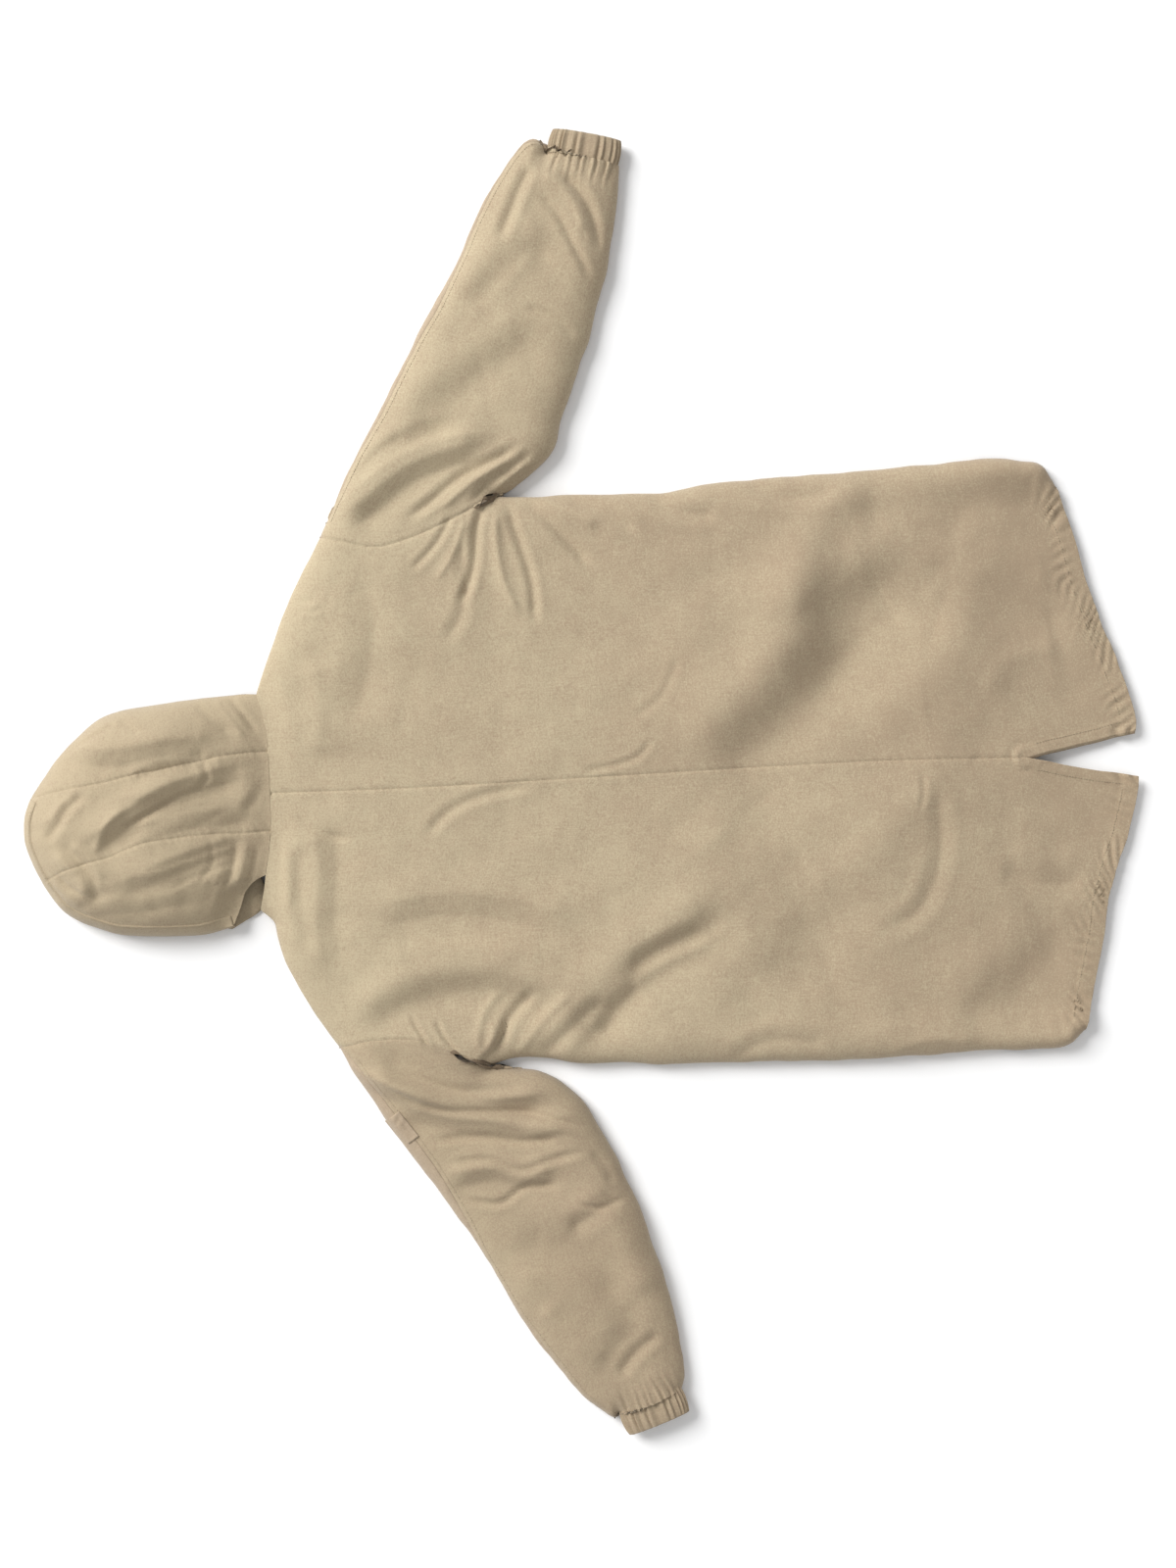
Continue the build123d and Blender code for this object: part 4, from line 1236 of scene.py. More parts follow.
@dataclass(frozen=True)
class Woven:
    """Plain-woven cotton with uneven yarns, soft mottling and a dull nap."""

    name: str
    light: Rgb
    dark: Rgb
    pitch: float = 0.0013  # from one yarn to the next
    relief: float = 0.8
    mottle: float = 0.9
    sheen: float = 0.22
    fade: float = 0.0  # how much browner and darker the tail is than the hood: partly the cloth's own tone, partly painted shade

    def make(self) -> bpy.types.Material:
        """Builds the material.

        Returns:
            The material.
        """
        g = Graph(self.name)
        uv, place = g.cloth(), g.place()
        scale = math.pi / (10 * self.pitch)
        warp, weft = (
            g.node("ShaderNodeTexWave", {"wave_type": "BANDS", "bands_direction": side},
                   {"Vector": uv, "Scale": scale, "Distortion": 0.7, "Detail": 1.0,
                    "Detail Scale": 1.3}, "Fac")
            for side in ("X", "Y"))
        slub_along = g.noise(uv * (40.0, 900.0, 1.0), 1.0)
        slub_across = g.noise(uv * (900.0, 40.0, 1.0), 1.0)
        yarns = warp * 0.5 + weft * 0.5
        slubs = slub_along * 0.5 + slub_across * 0.5
        broad = g.noise(place, 5.0, 3.0)
        patchy = g.noise(place, 38.0, 4.0)
        grain = g.noise(place, 520.0, 2.0)
        height = g.node("ShaderNodeSeparateXYZ", {}, {"Vector": place}, "Y")
        # The tone runs darker and browner towards the tail along the coat: partly the cloth's own
        # tone, partly painted shade.
        tone = (0.5 + (broad - 0.5) * self.mottle + (patchy - 0.5) * 0.6 + (grain - 0.5) * 2.2
                + (slubs - 0.5) * 1.6 - height * self.fade)
        colour = g.blend(tone, self.light, self.dark)
        bump = g.bump(self.relief, 0.0005,
                      yarns * 0.5 + slubs * 0.9 + grain * 0.5 + patchy * 0.6)
        rough = 0.8 + slubs * 0.15
        return g.surface({"Base Color": colour, "Roughness": rough, "Normal": bump,
                          "Sheen Weight": self.sheen, "Sheen Roughness": 0.45,
                          "Specular IOR Level": 0.25})


@dataclass(frozen=True)
class Ribbed:
    """Narrow woven tape or covered elastic with ribs across it."""

    name: str
    colour: Rgb
    rib: float = 0.0011

    def make(self) -> bpy.types.Material:
        """Builds the material.

        Returns:
            The material.
        """
        g = Graph(self.name)
        ribs = g.node("ShaderNodeTexWave", {"wave_type": "BANDS", "bands_direction": "X"},
                      {"Vector": g.cloth(), "Scale": math.pi / (10 * self.rib),
                       "Distortion": 0.3}, "Fac")
        fuzz = g.noise(g.place(), 900.0)
        # The colour darkens in the rib grooves, where the bump sinks: painted shade in the grooves;
        # the fuzz adds random tone.
        dark = tuple(0.72 * c for c in self.colour)
        colour = g.blend(ribs * 0.6 + fuzz * 0.4, dark, self.colour)
        bump = g.bump(0.7, 0.0004, ribs * 0.8 + fuzz * 0.4)
        return g.surface({"Base Color": colour, "Roughness": 0.82 + fuzz * 0.1, "Normal": bump,
                          "Sheen Weight": 0.2})


@dataclass(frozen=True)
class Brass:
    """Dull plated metal of the zip, rubbed brighter in places."""

    name: str
    colour: Rgb

    def make(self) -> bpy.types.Material:
        """Builds the material.

        Returns:
            The material.
        """
        g = Graph(self.name)
        place = g.place()
        rub, speck = g.noise(place, 260.0, 3.0), g.noise(place, 2400.0)
        dark = tuple(0.45 * c for c in self.colour)
        colour = g.blend(rub * 1.4 - 0.2, dark, self.colour)
        bump = g.bump(0.3, 0.0002, rub * 0.6 + speck * 0.4)
        return g.surface({"Base Color": colour, "Metallic": 1.0, "Roughness": 0.5 - rub * 0.25,
                          "Normal": bump})


@dataclass(frozen=True)
class Paper:
    """Plain pale floor."""

    name: str = "pale_floor"

    def make(self) -> bpy.types.Material:
        """Builds the material.

        Returns:
            The material.
        """
        g = Graph(self.name)
        tone = 0.9 + g.noise(g.place(), 3.0) * 0.01
        return g.surface({"Base Color": (0.95, 0.95, 0.95, 1), "Roughness": tone})


class Finishes:
    """Materials of the coat, one of each, with a darker copy of the shell cloth as painted shade.
    """

    def __init__(self) -> None:
        """Builds every material."""
        self.shell = Woven("khaki_shell_cloth", (0.494, 0.414, 0.276), (0.380, 0.288, 0.194),
                           fade=0.62).make()
        # A darker copy of the shell cloth, for the hood, its hem, the left sleeve and both cuffs:
        # painted shade.
        self.deep = Woven("khaki_shell_cloth_painted_shade", (0.438, 0.357, 0.236), (0.350, 0.262, 0.178),
                          fade=0.62).make()
        self.strip = Woven("khaki_shell_cloth_turned", (0.450, 0.358, 0.250),
                           (0.375, 0.288, 0.202)).make()
        self.lining = Woven("brown_lining_cloth", (0.210, 0.155, 0.100), (0.150, 0.108, 0.070),
                            pitch=0.0005, relief=0.25, mottle=0.4, sheen=0.1).make()
        self.tape = Ribbed("woven_tape", (0.330, 0.255, 0.160)).make()
        self.elastic = Ribbed("covered_elastic", (0.620, 0.580, 0.500), rib=0.0024).make()
        self.thread = Ribbed("sewing_thread", (0.470, 0.385, 0.255), rib=0.0006).make()
        self.metal = Brass("dull_zip_brass", (0.480, 0.370, 0.200)).make()
        self.floor = Paper().make()


# ---------------------------------------------------------------- pieces of the coat


class Held(Enum):
    """How a sheet of cloth lies in the finished coat."""

    LAID = "laid"
    FOLDED = "folded"
    GATHERED = "gathered"
    STRETCHED = "stretched"


@dataclass(frozen=True)
class Cut:
    """Flat size of a piece of cloth before it is sewn, in metres."""

    width: float
    length: float
    area: Optional[float] = None
    held: Held = Held.LAID
    rests_on: tuple[str, ...] = ()


@dataclass
class Maker:
    """Makes pieces, dresses them and ties them to the coat's bodies."""

    relief: Relief
    finishes: Finishes
    body: str = "coat"

    def piece(self, shape: Shape, name: str, material: bpy.types.Material, slot: str,
              nodes: Sequence[str] = (), cut: Optional[Cut] = None) -> bpy.types.Object:
        """One visible piece, tied to what carries it.

        Args:
            shape: Of the piece.
            name: Of the piece.
            material: Its finish.
            slot: The record's material slot; not used.
            nodes: CAD nodes that it stands for.
            cut: Flat size, where it is a sheet of cloth.

        Returns:
            The piece.
        """
        made = shape.object(f"{name}_cloth" if cut else name)
        made.data.materials.append(material)
        if nodes:
            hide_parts(*nodes)
        if cut:
            list(cut.rests_on)
            flat = cut.area or cut.width * cut.length
            log.info("%s: cloth %.2f of its flat area", name, shape.area() / 2 / flat)
        log.info("%s: %d faces", name, len(shape.faces))
        self.tie(made)
        return made

    def tie(self, made: bpy.types.Object) -> None:
        """Ties a piece to the body that carries it."""
        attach(made, self.body)


@dataclass
class Torso(Maker):
    """Back, front, facings, linings and pockets, which all lie on the coat's body."""

    width: float = 325.0
    length: float = 960.0
    front_length: float = 830.0
    neck_size: tuple[float, float] = (73.8, 78.0)
    zip_gap: float = 4.2
    cloth: float = 1.5
    lining_cloth: float = 0.5
    lining_depth: float = 3.4
    seam_drop: float = 0.3
    step: float = 3.2
    front_step: float = 5.0
    turn: float = 26.0
    facing_rows: float = 42.0
    pocket: tuple[float, float] = (215.0, -150.0)
    mouth: tuple[float, float] = (20.0, 160.0)
    bag: tuple[float, float] = (150.0, 200.0)

    def back_grid(self, side: str) -> Grid:
        """Grid of one back panel, rows from the hem up and columns from the centre out.

        Args:
            side: Right or left.

        Returns:
            The grid.
        """
        lines = SIDES[side]
        across = spaced(self.width, self.step, start=5, end=self.turn)
        along = spaced(self.length, self.step, start=6, end=12)
        plan = coons(lines["hem"], join(lines["side"][::-1], lines["armhole"][::-1]),
                     join(lines["neck"], lines["shoulder"]),
                     join(lines["vent"][::-1], CENTRE_SEAM), across, along)
        return Grid.at(plan, self.relief.upper)

    def front_grid(self, side: str) -> Grid:
        """Grid of one front panel, which lies on the floor.

        Args:
            side: Right or left.

        Returns:
            The grid.
        """
        lines, sign = SIDES[side], 1 if side == "right" else -1
        seam = lines["side"][::-1]
        seam = seam[seam[:, 1] > FRONT_HEM]
        corner = [np.interp(FRONT_HEM, lines["side"][::-1, 1], lines["side"][::-1, 0]), FRONT_HEM]
        east = join(np.vstack([[corner], seam]), lines["armhole"][::-1])
        middle = SEAM_X + sign * self.zip_gap
        south = spline([(middle, FRONT_HEM), tuple(corner)])
        turn = np.radians(np.linspace(-90, -8, 12))
        wide, deep = self.neck_size
        hollow = np.stack([SEAM_X + sign * (self.zip_gap + wide * np.cos(turn)),
                           NECK + deep * np.sin(turn)], axis=1)
        shoulder = lines["shoulder"]
        north = join(np.vstack([hollow, shoulder[:1]]), shoulder)
        west = spline([(middle, FRONT_HEM), (middle, 280)])
        hollow[0] = west[-1]
        plan = coons(south, east, north, west,
                     spaced(self.width, self.front_step, start=4, end=14),
                     spaced(self.front_length, self.front_step, start=4, end=8))
        return Grid.at(plan, self.front_height(), -1.0)

    def front_height(self) -> Field:
        """Height of the front panels, which rise a little over the pocket welts.

        Returns:
            The field.
        """

        def height(x: np.ndarray, y: np.ndarray) -> np.ndarray:
            """Height at plan places.

            Args:
                x: Places across.
                y: Places along.

            Returns:
                Heights in millimetres.
            """
            over = ((1 - smooth(np.abs(np.abs(x) - self.pocket[0]), 8, 20))
                    * (1 - smooth(np.abs(y - self.pocket[1]), 84, 100)))
            return self.relief.under(x, y) + 1.6 * over

        return height

    def build(self) -> None:
        """Makes every piece of the torso."""
        grids = {side: self.back_grid(side) for side in SIDES}
        for side, grid in grids.items():
            # The right panel's allowance goes under the left one along the centre seam, where
            # the edge of each lies a little low.
            whole = grid.tucked(Edge.WEST) if side == "right" else grid
            whole.points[:, 0, 2] -= self.seam_drop
            self.piece(whole.shell(self.cloth), f"back_panel_{side}", self.finishes.shell,
                       "shell_cloth", [f"back_panel_{side}"],
                       Cut(0.36, 1.03, area=0.335, rests_on=("back_lining",)))
            self.facings(side, grid)
            self.front(side)
        self.back_lining(grids)

    def facings(self, side: str, grid: Grid) -> None:
        """Turned hems inside the tail and along the vent.

        Args:
            side: Right or left.
            grid: Of the back panel.
        """
        lines = SIDES[side]
        inner = grid.sunk(self.cloth + PLY_GAP)
        rows = int(np.searchsorted(np.abs(grid.points[:, 40, 1] - grid.points[0, 40, 1]),
                                   self.facing_rows))
        self.piece(inner.part(slice(1, rows), slice(8, -3)).shell(FACING_CLOTH),
                   f"back_hem_facing_{side}", self.finishes.shell, "shell_cloth",
                   [f"back_hem_facing_{side}"], Cut(0.30, 0.042, area=0.0125))
        top = int(np.searchsorted(grid.points[:, 0, 1], VENT_TOP[1]))
        self.piece(inner.part(slice(rows, top), slice(1, 14)).shell(FACING_CLOTH),
                   f"vent_facing_{side}", self.finishes.shell, "shell_cloth",
                   [f"vent_facing_{side}"], Cut(0.03, 0.10, area=0.0026))
        rows_of = [inset(lines["hem"], 18 if side == "right" else -18),
                   inset(lines["vent"], 12 if side == "right" else -12)]
        hem = together([stitches(line[2:-2], self.relief.upper) for line in rows_of])
        self.piece(hem, f"hem_stitching_{side}", self.finishes.thread, "shell_cloth")

    def back_lining(self, grids: dict[str, Grid]) -> None:
        """Lining of both back panels in one sheet.

        Args:
            grids: Of the back panels.
        """
        top = int(np.searchsorted(grids["right"].points[:, 0, 1], VENT_TOP[1] + 14))
        left, right = (grids[side].sunk(self.lining_depth).points[top:-5]
                       for side in ("left", "right"))
        both = np.concatenate([left[:, ::-1][:, 6:-1], right[:, :-6]], axis=1)[::2, ::2]
        both[..., 2] = np.maximum(both[..., 2], LINING_CLEAR)
        self.piece(Grid(both).shell(self.lining_cloth), "back_lining", self.finishes.lining,
                   "lining", ["back_lining"], Cut(0.68, 0.90, area=0.55))

    def front(self, side: str) -> None:
        """Front panel with its hem, lining and pocket.

        Args:
            side: Right or left.
        """
        grid = self.front_grid(side)
        self.piece(grid.shell(self.cloth), f"front_panel_{side}", self.finishes.shell,
                   "shell_cloth", [f"front_panel_{side}"], Cut(0.335, 0.80, area=0.235))
        inner = grid.sunk(self.cloth + PLY_GAP)
        rows = int(np.searchsorted(grid.points[:, 10, 1] - grid.points[0, 10, 1], 30))
        self.piece(inner.part(slice(1, rows), slice(6, -4)).shell(FACING_CLOTH),
                   f"front_hem_facing_{side}", self.finishes.shell, "shell_cloth",
                   [f"front_hem_facing_{side}"], Cut(0.31, 0.03, area=0.0093))
        lining = grid.sunk(self.cloth + 0.5).part(slice(rows, -4), slice(6, -5))
        self.piece(lining.shell(self.lining_cloth), f"front_lining_{side}",
                   self.finishes.lining, "lining", [f"front_lining_{side}"],
                   Cut(0.31, 0.76, area=0.20))
        self.pocket_on(side)

    def pocket_on(self, side: str) -> None:
        """Welt and bag of a front pocket.

        Args:
            side: Right or left.
        """
        sign = 1 if side == "right" else -1
        x0, y0 = sign * self.pocket[0], self.pocket[1]
        t = np.linspace(-1, 1, 15)
        u, v = np.meshgrid(t * 7.0, np.linspace(-1, 1, 70) * (self.mouth[1] / 2 + 2))
        puff = np.sqrt(np.clip(1 - (u / 7.2) ** 4, 0, 1)) * np.sqrt(
            np.clip(1 - (v / (self.mouth[1] / 2 + 2.2)) ** 8, 0, 1))
        low = Grid(np.stack([x0 + u, y0 + v, 2.5 - 1.6 * puff], axis=-1), -1.0)
        self.piece(low.shell(FACING_CLOTH), f"pocket_welt_{side}", self.finishes.strip,
                   "shell_cloth", [f"pocket_welt_{side}"], Cut(0.015, 0.165, held=Held.FOLDED))
        width, depth = self.bag
        across = np.linspace(-1, 1, 40)
        down = np.concatenate([np.linspace(0, 1, 50), np.linspace(1, 0, 50)])
        ply = np.concatenate([np.full(50, -1.0), np.full(50, 1.0)])
        s, d = np.meshgrid(across, down)
        swell = np.sqrt(np.clip(1 - s**4, 0, 1)) * np.sqrt(np.clip(1 - (2 * d - 1) ** 6, 0, 1))
        z = 6.4 + ply[:, None] * (0.45 + 1.3 * swell) + 0.3 * noise(s * 60, d * 190, 34, 61)
        bag = Grid(np.stack([x0 + s * width / 2, y0 + (d - 0.5) * depth, z], axis=-1), -1.0)
        self.piece(bag.shell(0.4), f"pocket_bag_{side}", self.finishes.lining, "lining",
                   [f"pocket_bag_{side}"], Cut(0.15, 0.40, held=Held.FOLDED))


@dataclass
class Neckline(Maker):
    """Binding over the neck seam and the loop that hangs the coat."""

    binding_width: float = 14.0
    depth: float = 5.2
    strap: float = 6.0

    def build(self) -> None:
        """Makes the binding and the loop."""
        line = between(NECK_LINE, -90, 90)
        x, y = ribbon(line, np.linspace(-1, 1, 9) * self.binding_width / 2 - 5)
        z = np.minimum(self.relief.upper(x, np.minimum(y, 350)), 24) - self.depth
        self.piece(Grid(np.stack([x, y, z], axis=-1)).shell(FACING_CLOTH), "neck_binding",
                   self.finishes.tape, "tape", ["neck_binding"], Cut(0.19, 0.014))
        low, high = (np.array(corner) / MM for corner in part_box("hanger_loop"))
        loop = spline([(low[0] + 3, high[1]), (low[0] + 4, low[1] + 9), (low[0] + 14, low[1] + 3),
                       (high[0] - 14, low[1] + 3), (high[0] - 4, low[1] + 9),
                       (high[0] - 3, high[1])], 1.5)
        across = np.linspace(-1, 1, 7)
        x, y = ribbon(loop, across * self.strap / 2)
        z = high[2] - 0.2 - 0.25 * across[:, None] ** 2 + 0 * x
        self.piece(Grid(np.stack([x, y, z], axis=-1)).shell(1.2), "hanger_loop_strap",
                   self.finishes.tape, "tape", ["hanger_loop"])


@dataclass
class Sleeve(Maker):
    """One sleeve, sewn to the torso at its armhole."""

    side: str = "right"
    length: float = 455.0
    around: float = 190.0
    strip: float = 16.0
    step: float = 3.2
    under_step: float = 5.0
    cloth: float = 1.5
    lining_depth: float = 5.2
    lining_clear: float = 3.2
    bend_reach: float = 140.0

    def tie(self, made: bpy.types.Object) -> None:
        """Bakes a piece's placement into its mesh; no bend across the armhole is applied.

        Args:
            made: The piece.
        """
        top, low = SIDES[self.side]["armhole"][0], SIDES[self.side]["armhole"][-1]
        chord = (top - low) / np.linalg.norm(top - low)
        out = np.array([chord[1], -chord[0]]) * (1 if self.side == "right" else -1)
        start = (top + low) / 2 * MM
        end = start + out * self.bend_reach * MM
        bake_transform(made)

    def grids(self) -> tuple[Grid, np.ndarray, np.ndarray]:
        """Back of the sleeve, its turned strip and its underside.

        Returns:
            Grid of the back, and points of the strip and of the underside.
        """
        lines = SIDES[self.side]
        along = spaced(self.length, self.step, start=4, end=3)
        # The back starts a little inside the armhole's top and the cuff's end, where the strip
        # that turns over the edge takes over.
        armhole = resample(lines["armhole"], np.linspace(1, 0.022, 60))
        seam = lines["sleeve_seam"].copy()
        seam[0] = armhole[-1]
        cuff = resample(lines["cuff"], np.linspace(0, 0.985, 30))
        seam[-1] = cuff[-1]
        upper = Grid.at(coons(lines["underarm"], cuff, seam, armhole, along,
                              spaced(self.around, self.step, start=26, end=4)),
                        self.relief.upper)
        edge = lines["sleeve_top"]
        ends = [np.stack([seam[k], edge[k]]) for k in (0, -1)]
        strip = Grid.at(coons(seam, ends[1], edge, ends[0], along,
                              spaced(self.strip, self.step / 2, end=12)),
                        self.relief.upper).points
        down = Grid.at(coons(edge, lines["cuff"][::-1], lines["underarm"], lines["armhole"], along,
                             spaced(self.around, self.under_step, start=12, end=12)),
                       self.relief.under).points
        return upper, strip, down

    def build(self) -> None:
        """Makes the sleeve's shell, lining and stitches."""
        # The left sleeve takes the darker copy of the shell cloth: painted shade.
        cloth = self.finishes.shell if self.side == "right" else self.finishes.deep
        upper, strip, down = self.grids()
        side = self.side
        self.piece(upper.tucked(Edge.WEST, reach=6).shell(self.cloth),
                   f"sleeve_back_{side}", cloth, "shell_cloth", [f"sleeve_back_{side}"],
                   Cut(0.24, 0.50, area=0.088, rests_on=(f"sleeve_lining_{side}",)))
        front = Grid(np.vstack([strip[:-1], down]))
        front.outward = self.turned_out(front)
        self.piece(front.shell(self.cloth), f"sleeve_front_{side}", self.finishes.strip,
                   "shell_cloth", [f"sleeve_front_{side}"], Cut(0.25, 0.50, area=0.090))
        whole = np.vstack([upper.points[:-1], strip[:-1], down[:-1]])[::3, :-3:3]
        inner = Grid(np.swapaxes(whole, 0, 1)).sunk(self.lining_depth)
        inner.points[..., 2] = np.maximum(inner.points[..., 2], self.lining_clear)
        self.piece(inner.shell(0.4, loop=True), f"sleeve_lining_{side}",
                   self.finishes.lining, "lining", [f"sleeve_lining_{side}"],
                   Cut(0.44, 0.48, area=0.16))
        sign = 1 if side == "right" else -1
        row = stitches(inset(SIDES[side]["sleeve_seam"][3:-3], -sign * 5), self.relief.upper)
        self.piece(row, f"sleeve_stitching_{side}", self.finishes.thread, "shell_cloth")

    def turned_out(self, grid: Grid) -> float:
        """Which way the outer face looks at the quarter of a grid's rows, well along them."""
        return 1.0 if grid.points[grid.points.shape[0] // 4, 60, 2] > SEAM_HEIGHT else -1.0


@dataclass
class Cuff(Maker):
    """Elastic cuff: a gathered casing round a band of elastic."""

    side: str = "right"
    width: float = 29.0
    height: float = 22.0
    pleats: int = 26
    places: int = 312

    def tie(self, made: bpy.types.Object) -> None:
        """Ties a piece to the sleeve."""
        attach(made, f"sleeve_{self.side}")

    def ring(self, inward: np.ndarray, along: np.ndarray, gather: np.ndarray) -> Grid:
        """Grid round the cuff, one row for each place of a profile.

        Args:
            inward: Depth of each place under the cuff's outer face.
            along: Distance of each place from the sleeve.
            gather: Strength of the pleats at each place.

        Returns:
            The grid.
        """
        ends = resample(SIDES[self.side]["cuff"], np.array([0.0, 1.0]))
        axis = (ends[1] - ends[0]) / np.linalg.norm(ends[1] - ends[0])
        out = np.array([axis[1], -axis[0]]) * (1 if self.side == "right" else -1)
        middle, half = ends.mean(axis=0), np.linalg.norm(ends[1] - ends[0]) / 2 - 0.6
        turn = np.linspace(0, 2 * math.pi, self.places, endpoint=False) - math.pi / 2
        lean = 0.35 * noise(np.cos(turn) * 40, np.sin(turn) * 40, 17, 81 + len(self.side))
        size = 0.55 + 0.9 * np.abs(noise(np.cos(turn) * 60, np.sin(turn) * 60, 12, 83))
        pleat = (np.sin(self.pleats * turn + 6 * lean)
                 + 0.5 * np.sin(1.5 * self.pleats * turn + 9 * lean)) * size
        depth = inward[:, None] - gather[:, None] * pleat[None]
        wide, tall = half - depth, self.height / 2 + 0.6 - depth
        across = wide * np.sign(np.cos(turn)) * np.abs(np.cos(turn)) ** 0.8
        lowest = FLOOR_CLEAR + 0.2 + 0.3 * inward[:, None]
        z = np.maximum(self.height / 2 + 1.6 + tall * np.sin(turn), lowest)
        sway = along[:, None] + 1.2 * lean[None] * gather[:, None]
        x = middle[0] + axis[0] * across + out[0] * sway
        y = middle[1] + axis[1] * across + out[1] * sway
        return Grid(np.stack([x, y, z], axis=-1))

    def build(self) -> None:
        """Makes the casing and its elastic."""
        t = np.linspace(0, 1, 16)
        puff = 1.5 * np.sin(math.pi * t) ** 0.7
        outer = self.ring(2.2 - puff, -5 + t * (self.width + 3), 0.75 + 0.8 * np.sin(math.pi * t))
        fold = self.ring(np.array([2.6, 3.4, 4.2]), self.width - 2 + np.array([0.8, 1.1, 0.8]),
                         np.array([0.7, 0.6, 0.6]))
        inner = self.ring(np.full(10, 5.0), self.width - 2 - np.linspace(0, 24, 10),
                          np.full(10, 0.55))
        casing = Grid(np.vstack([outer.points, fold.points, inner.points]))
        # The casing takes the darker copy of the shell cloth: painted shade.
        self.piece(casing.shell(FACING_CLOTH, loop=True), f"cuff_casing_{self.side}",
                   self.finishes.deep, "shell_cloth", [f"cuff_casing_{self.side}"],
                   Cut(0.24, 0.058, held=Held.GATHERED,
                       rests_on=(f"cuff_elastic_{self.side}",)))
        band = self.ring(np.full(9, 3.1), np.linspace(2, self.width - 5, 9), np.full(9, 0.5))
        self.piece(band.shell(0.7, loop=True), f"cuff_elastic_{self.side}",
                   self.finishes.elastic, "elastic", [f"cuff_elastic_{self.side}"],
                   Cut(0.20, 0.024, held=Held.STRETCHED))


@dataclass
class SleeveTab(Sleeve):
    """Plain sewn tab that bridges the strip on the left sleeve."""

    side: str = "left"
    ends: tuple[tuple[float, float], tuple[float, float]] = ((-379, 230), (-404, 212))
    outside: tuple[float, float] = (-400, 245)
    width: float = 22.0
    lap: float = 6.0

    def build(self) -> None:
        """Makes the tab."""
        a, b = np.array(self.ends[0], float), np.array(self.ends[1], float)
        axis = (b - a) / np.linalg.norm(b - a)
        out = np.array([axis[1], -axis[0]])
        if out @ (np.array(self.outside) - a) < 0:
            out = -out
        s = np.linspace(-3, np.linalg.norm(b - a) + 3, 22)
        t = np.linspace(-self.lap, self.width - self.lap, 18)
        x = a[0] + axis[0] * s[None] + out[0] * t[:, None]
        y = a[1] + axis[1] * s[None] + out[1] * t[:, None]
        z = self.relief.upper(x, y) + 1.0
        off = t[:, None] > 10
        z = np.where(off, np.minimum(z, 10.5), z)
        self.piece(Grid(np.stack([x, y, z], axis=-1)).shell(FACING_CLOTH), "sleeve_tab_left",
                   self.finishes.strip, "shell_cloth", ["sleeve_tab_left"],
                   Cut(0.037, 0.030, held=Held.FOLDED))


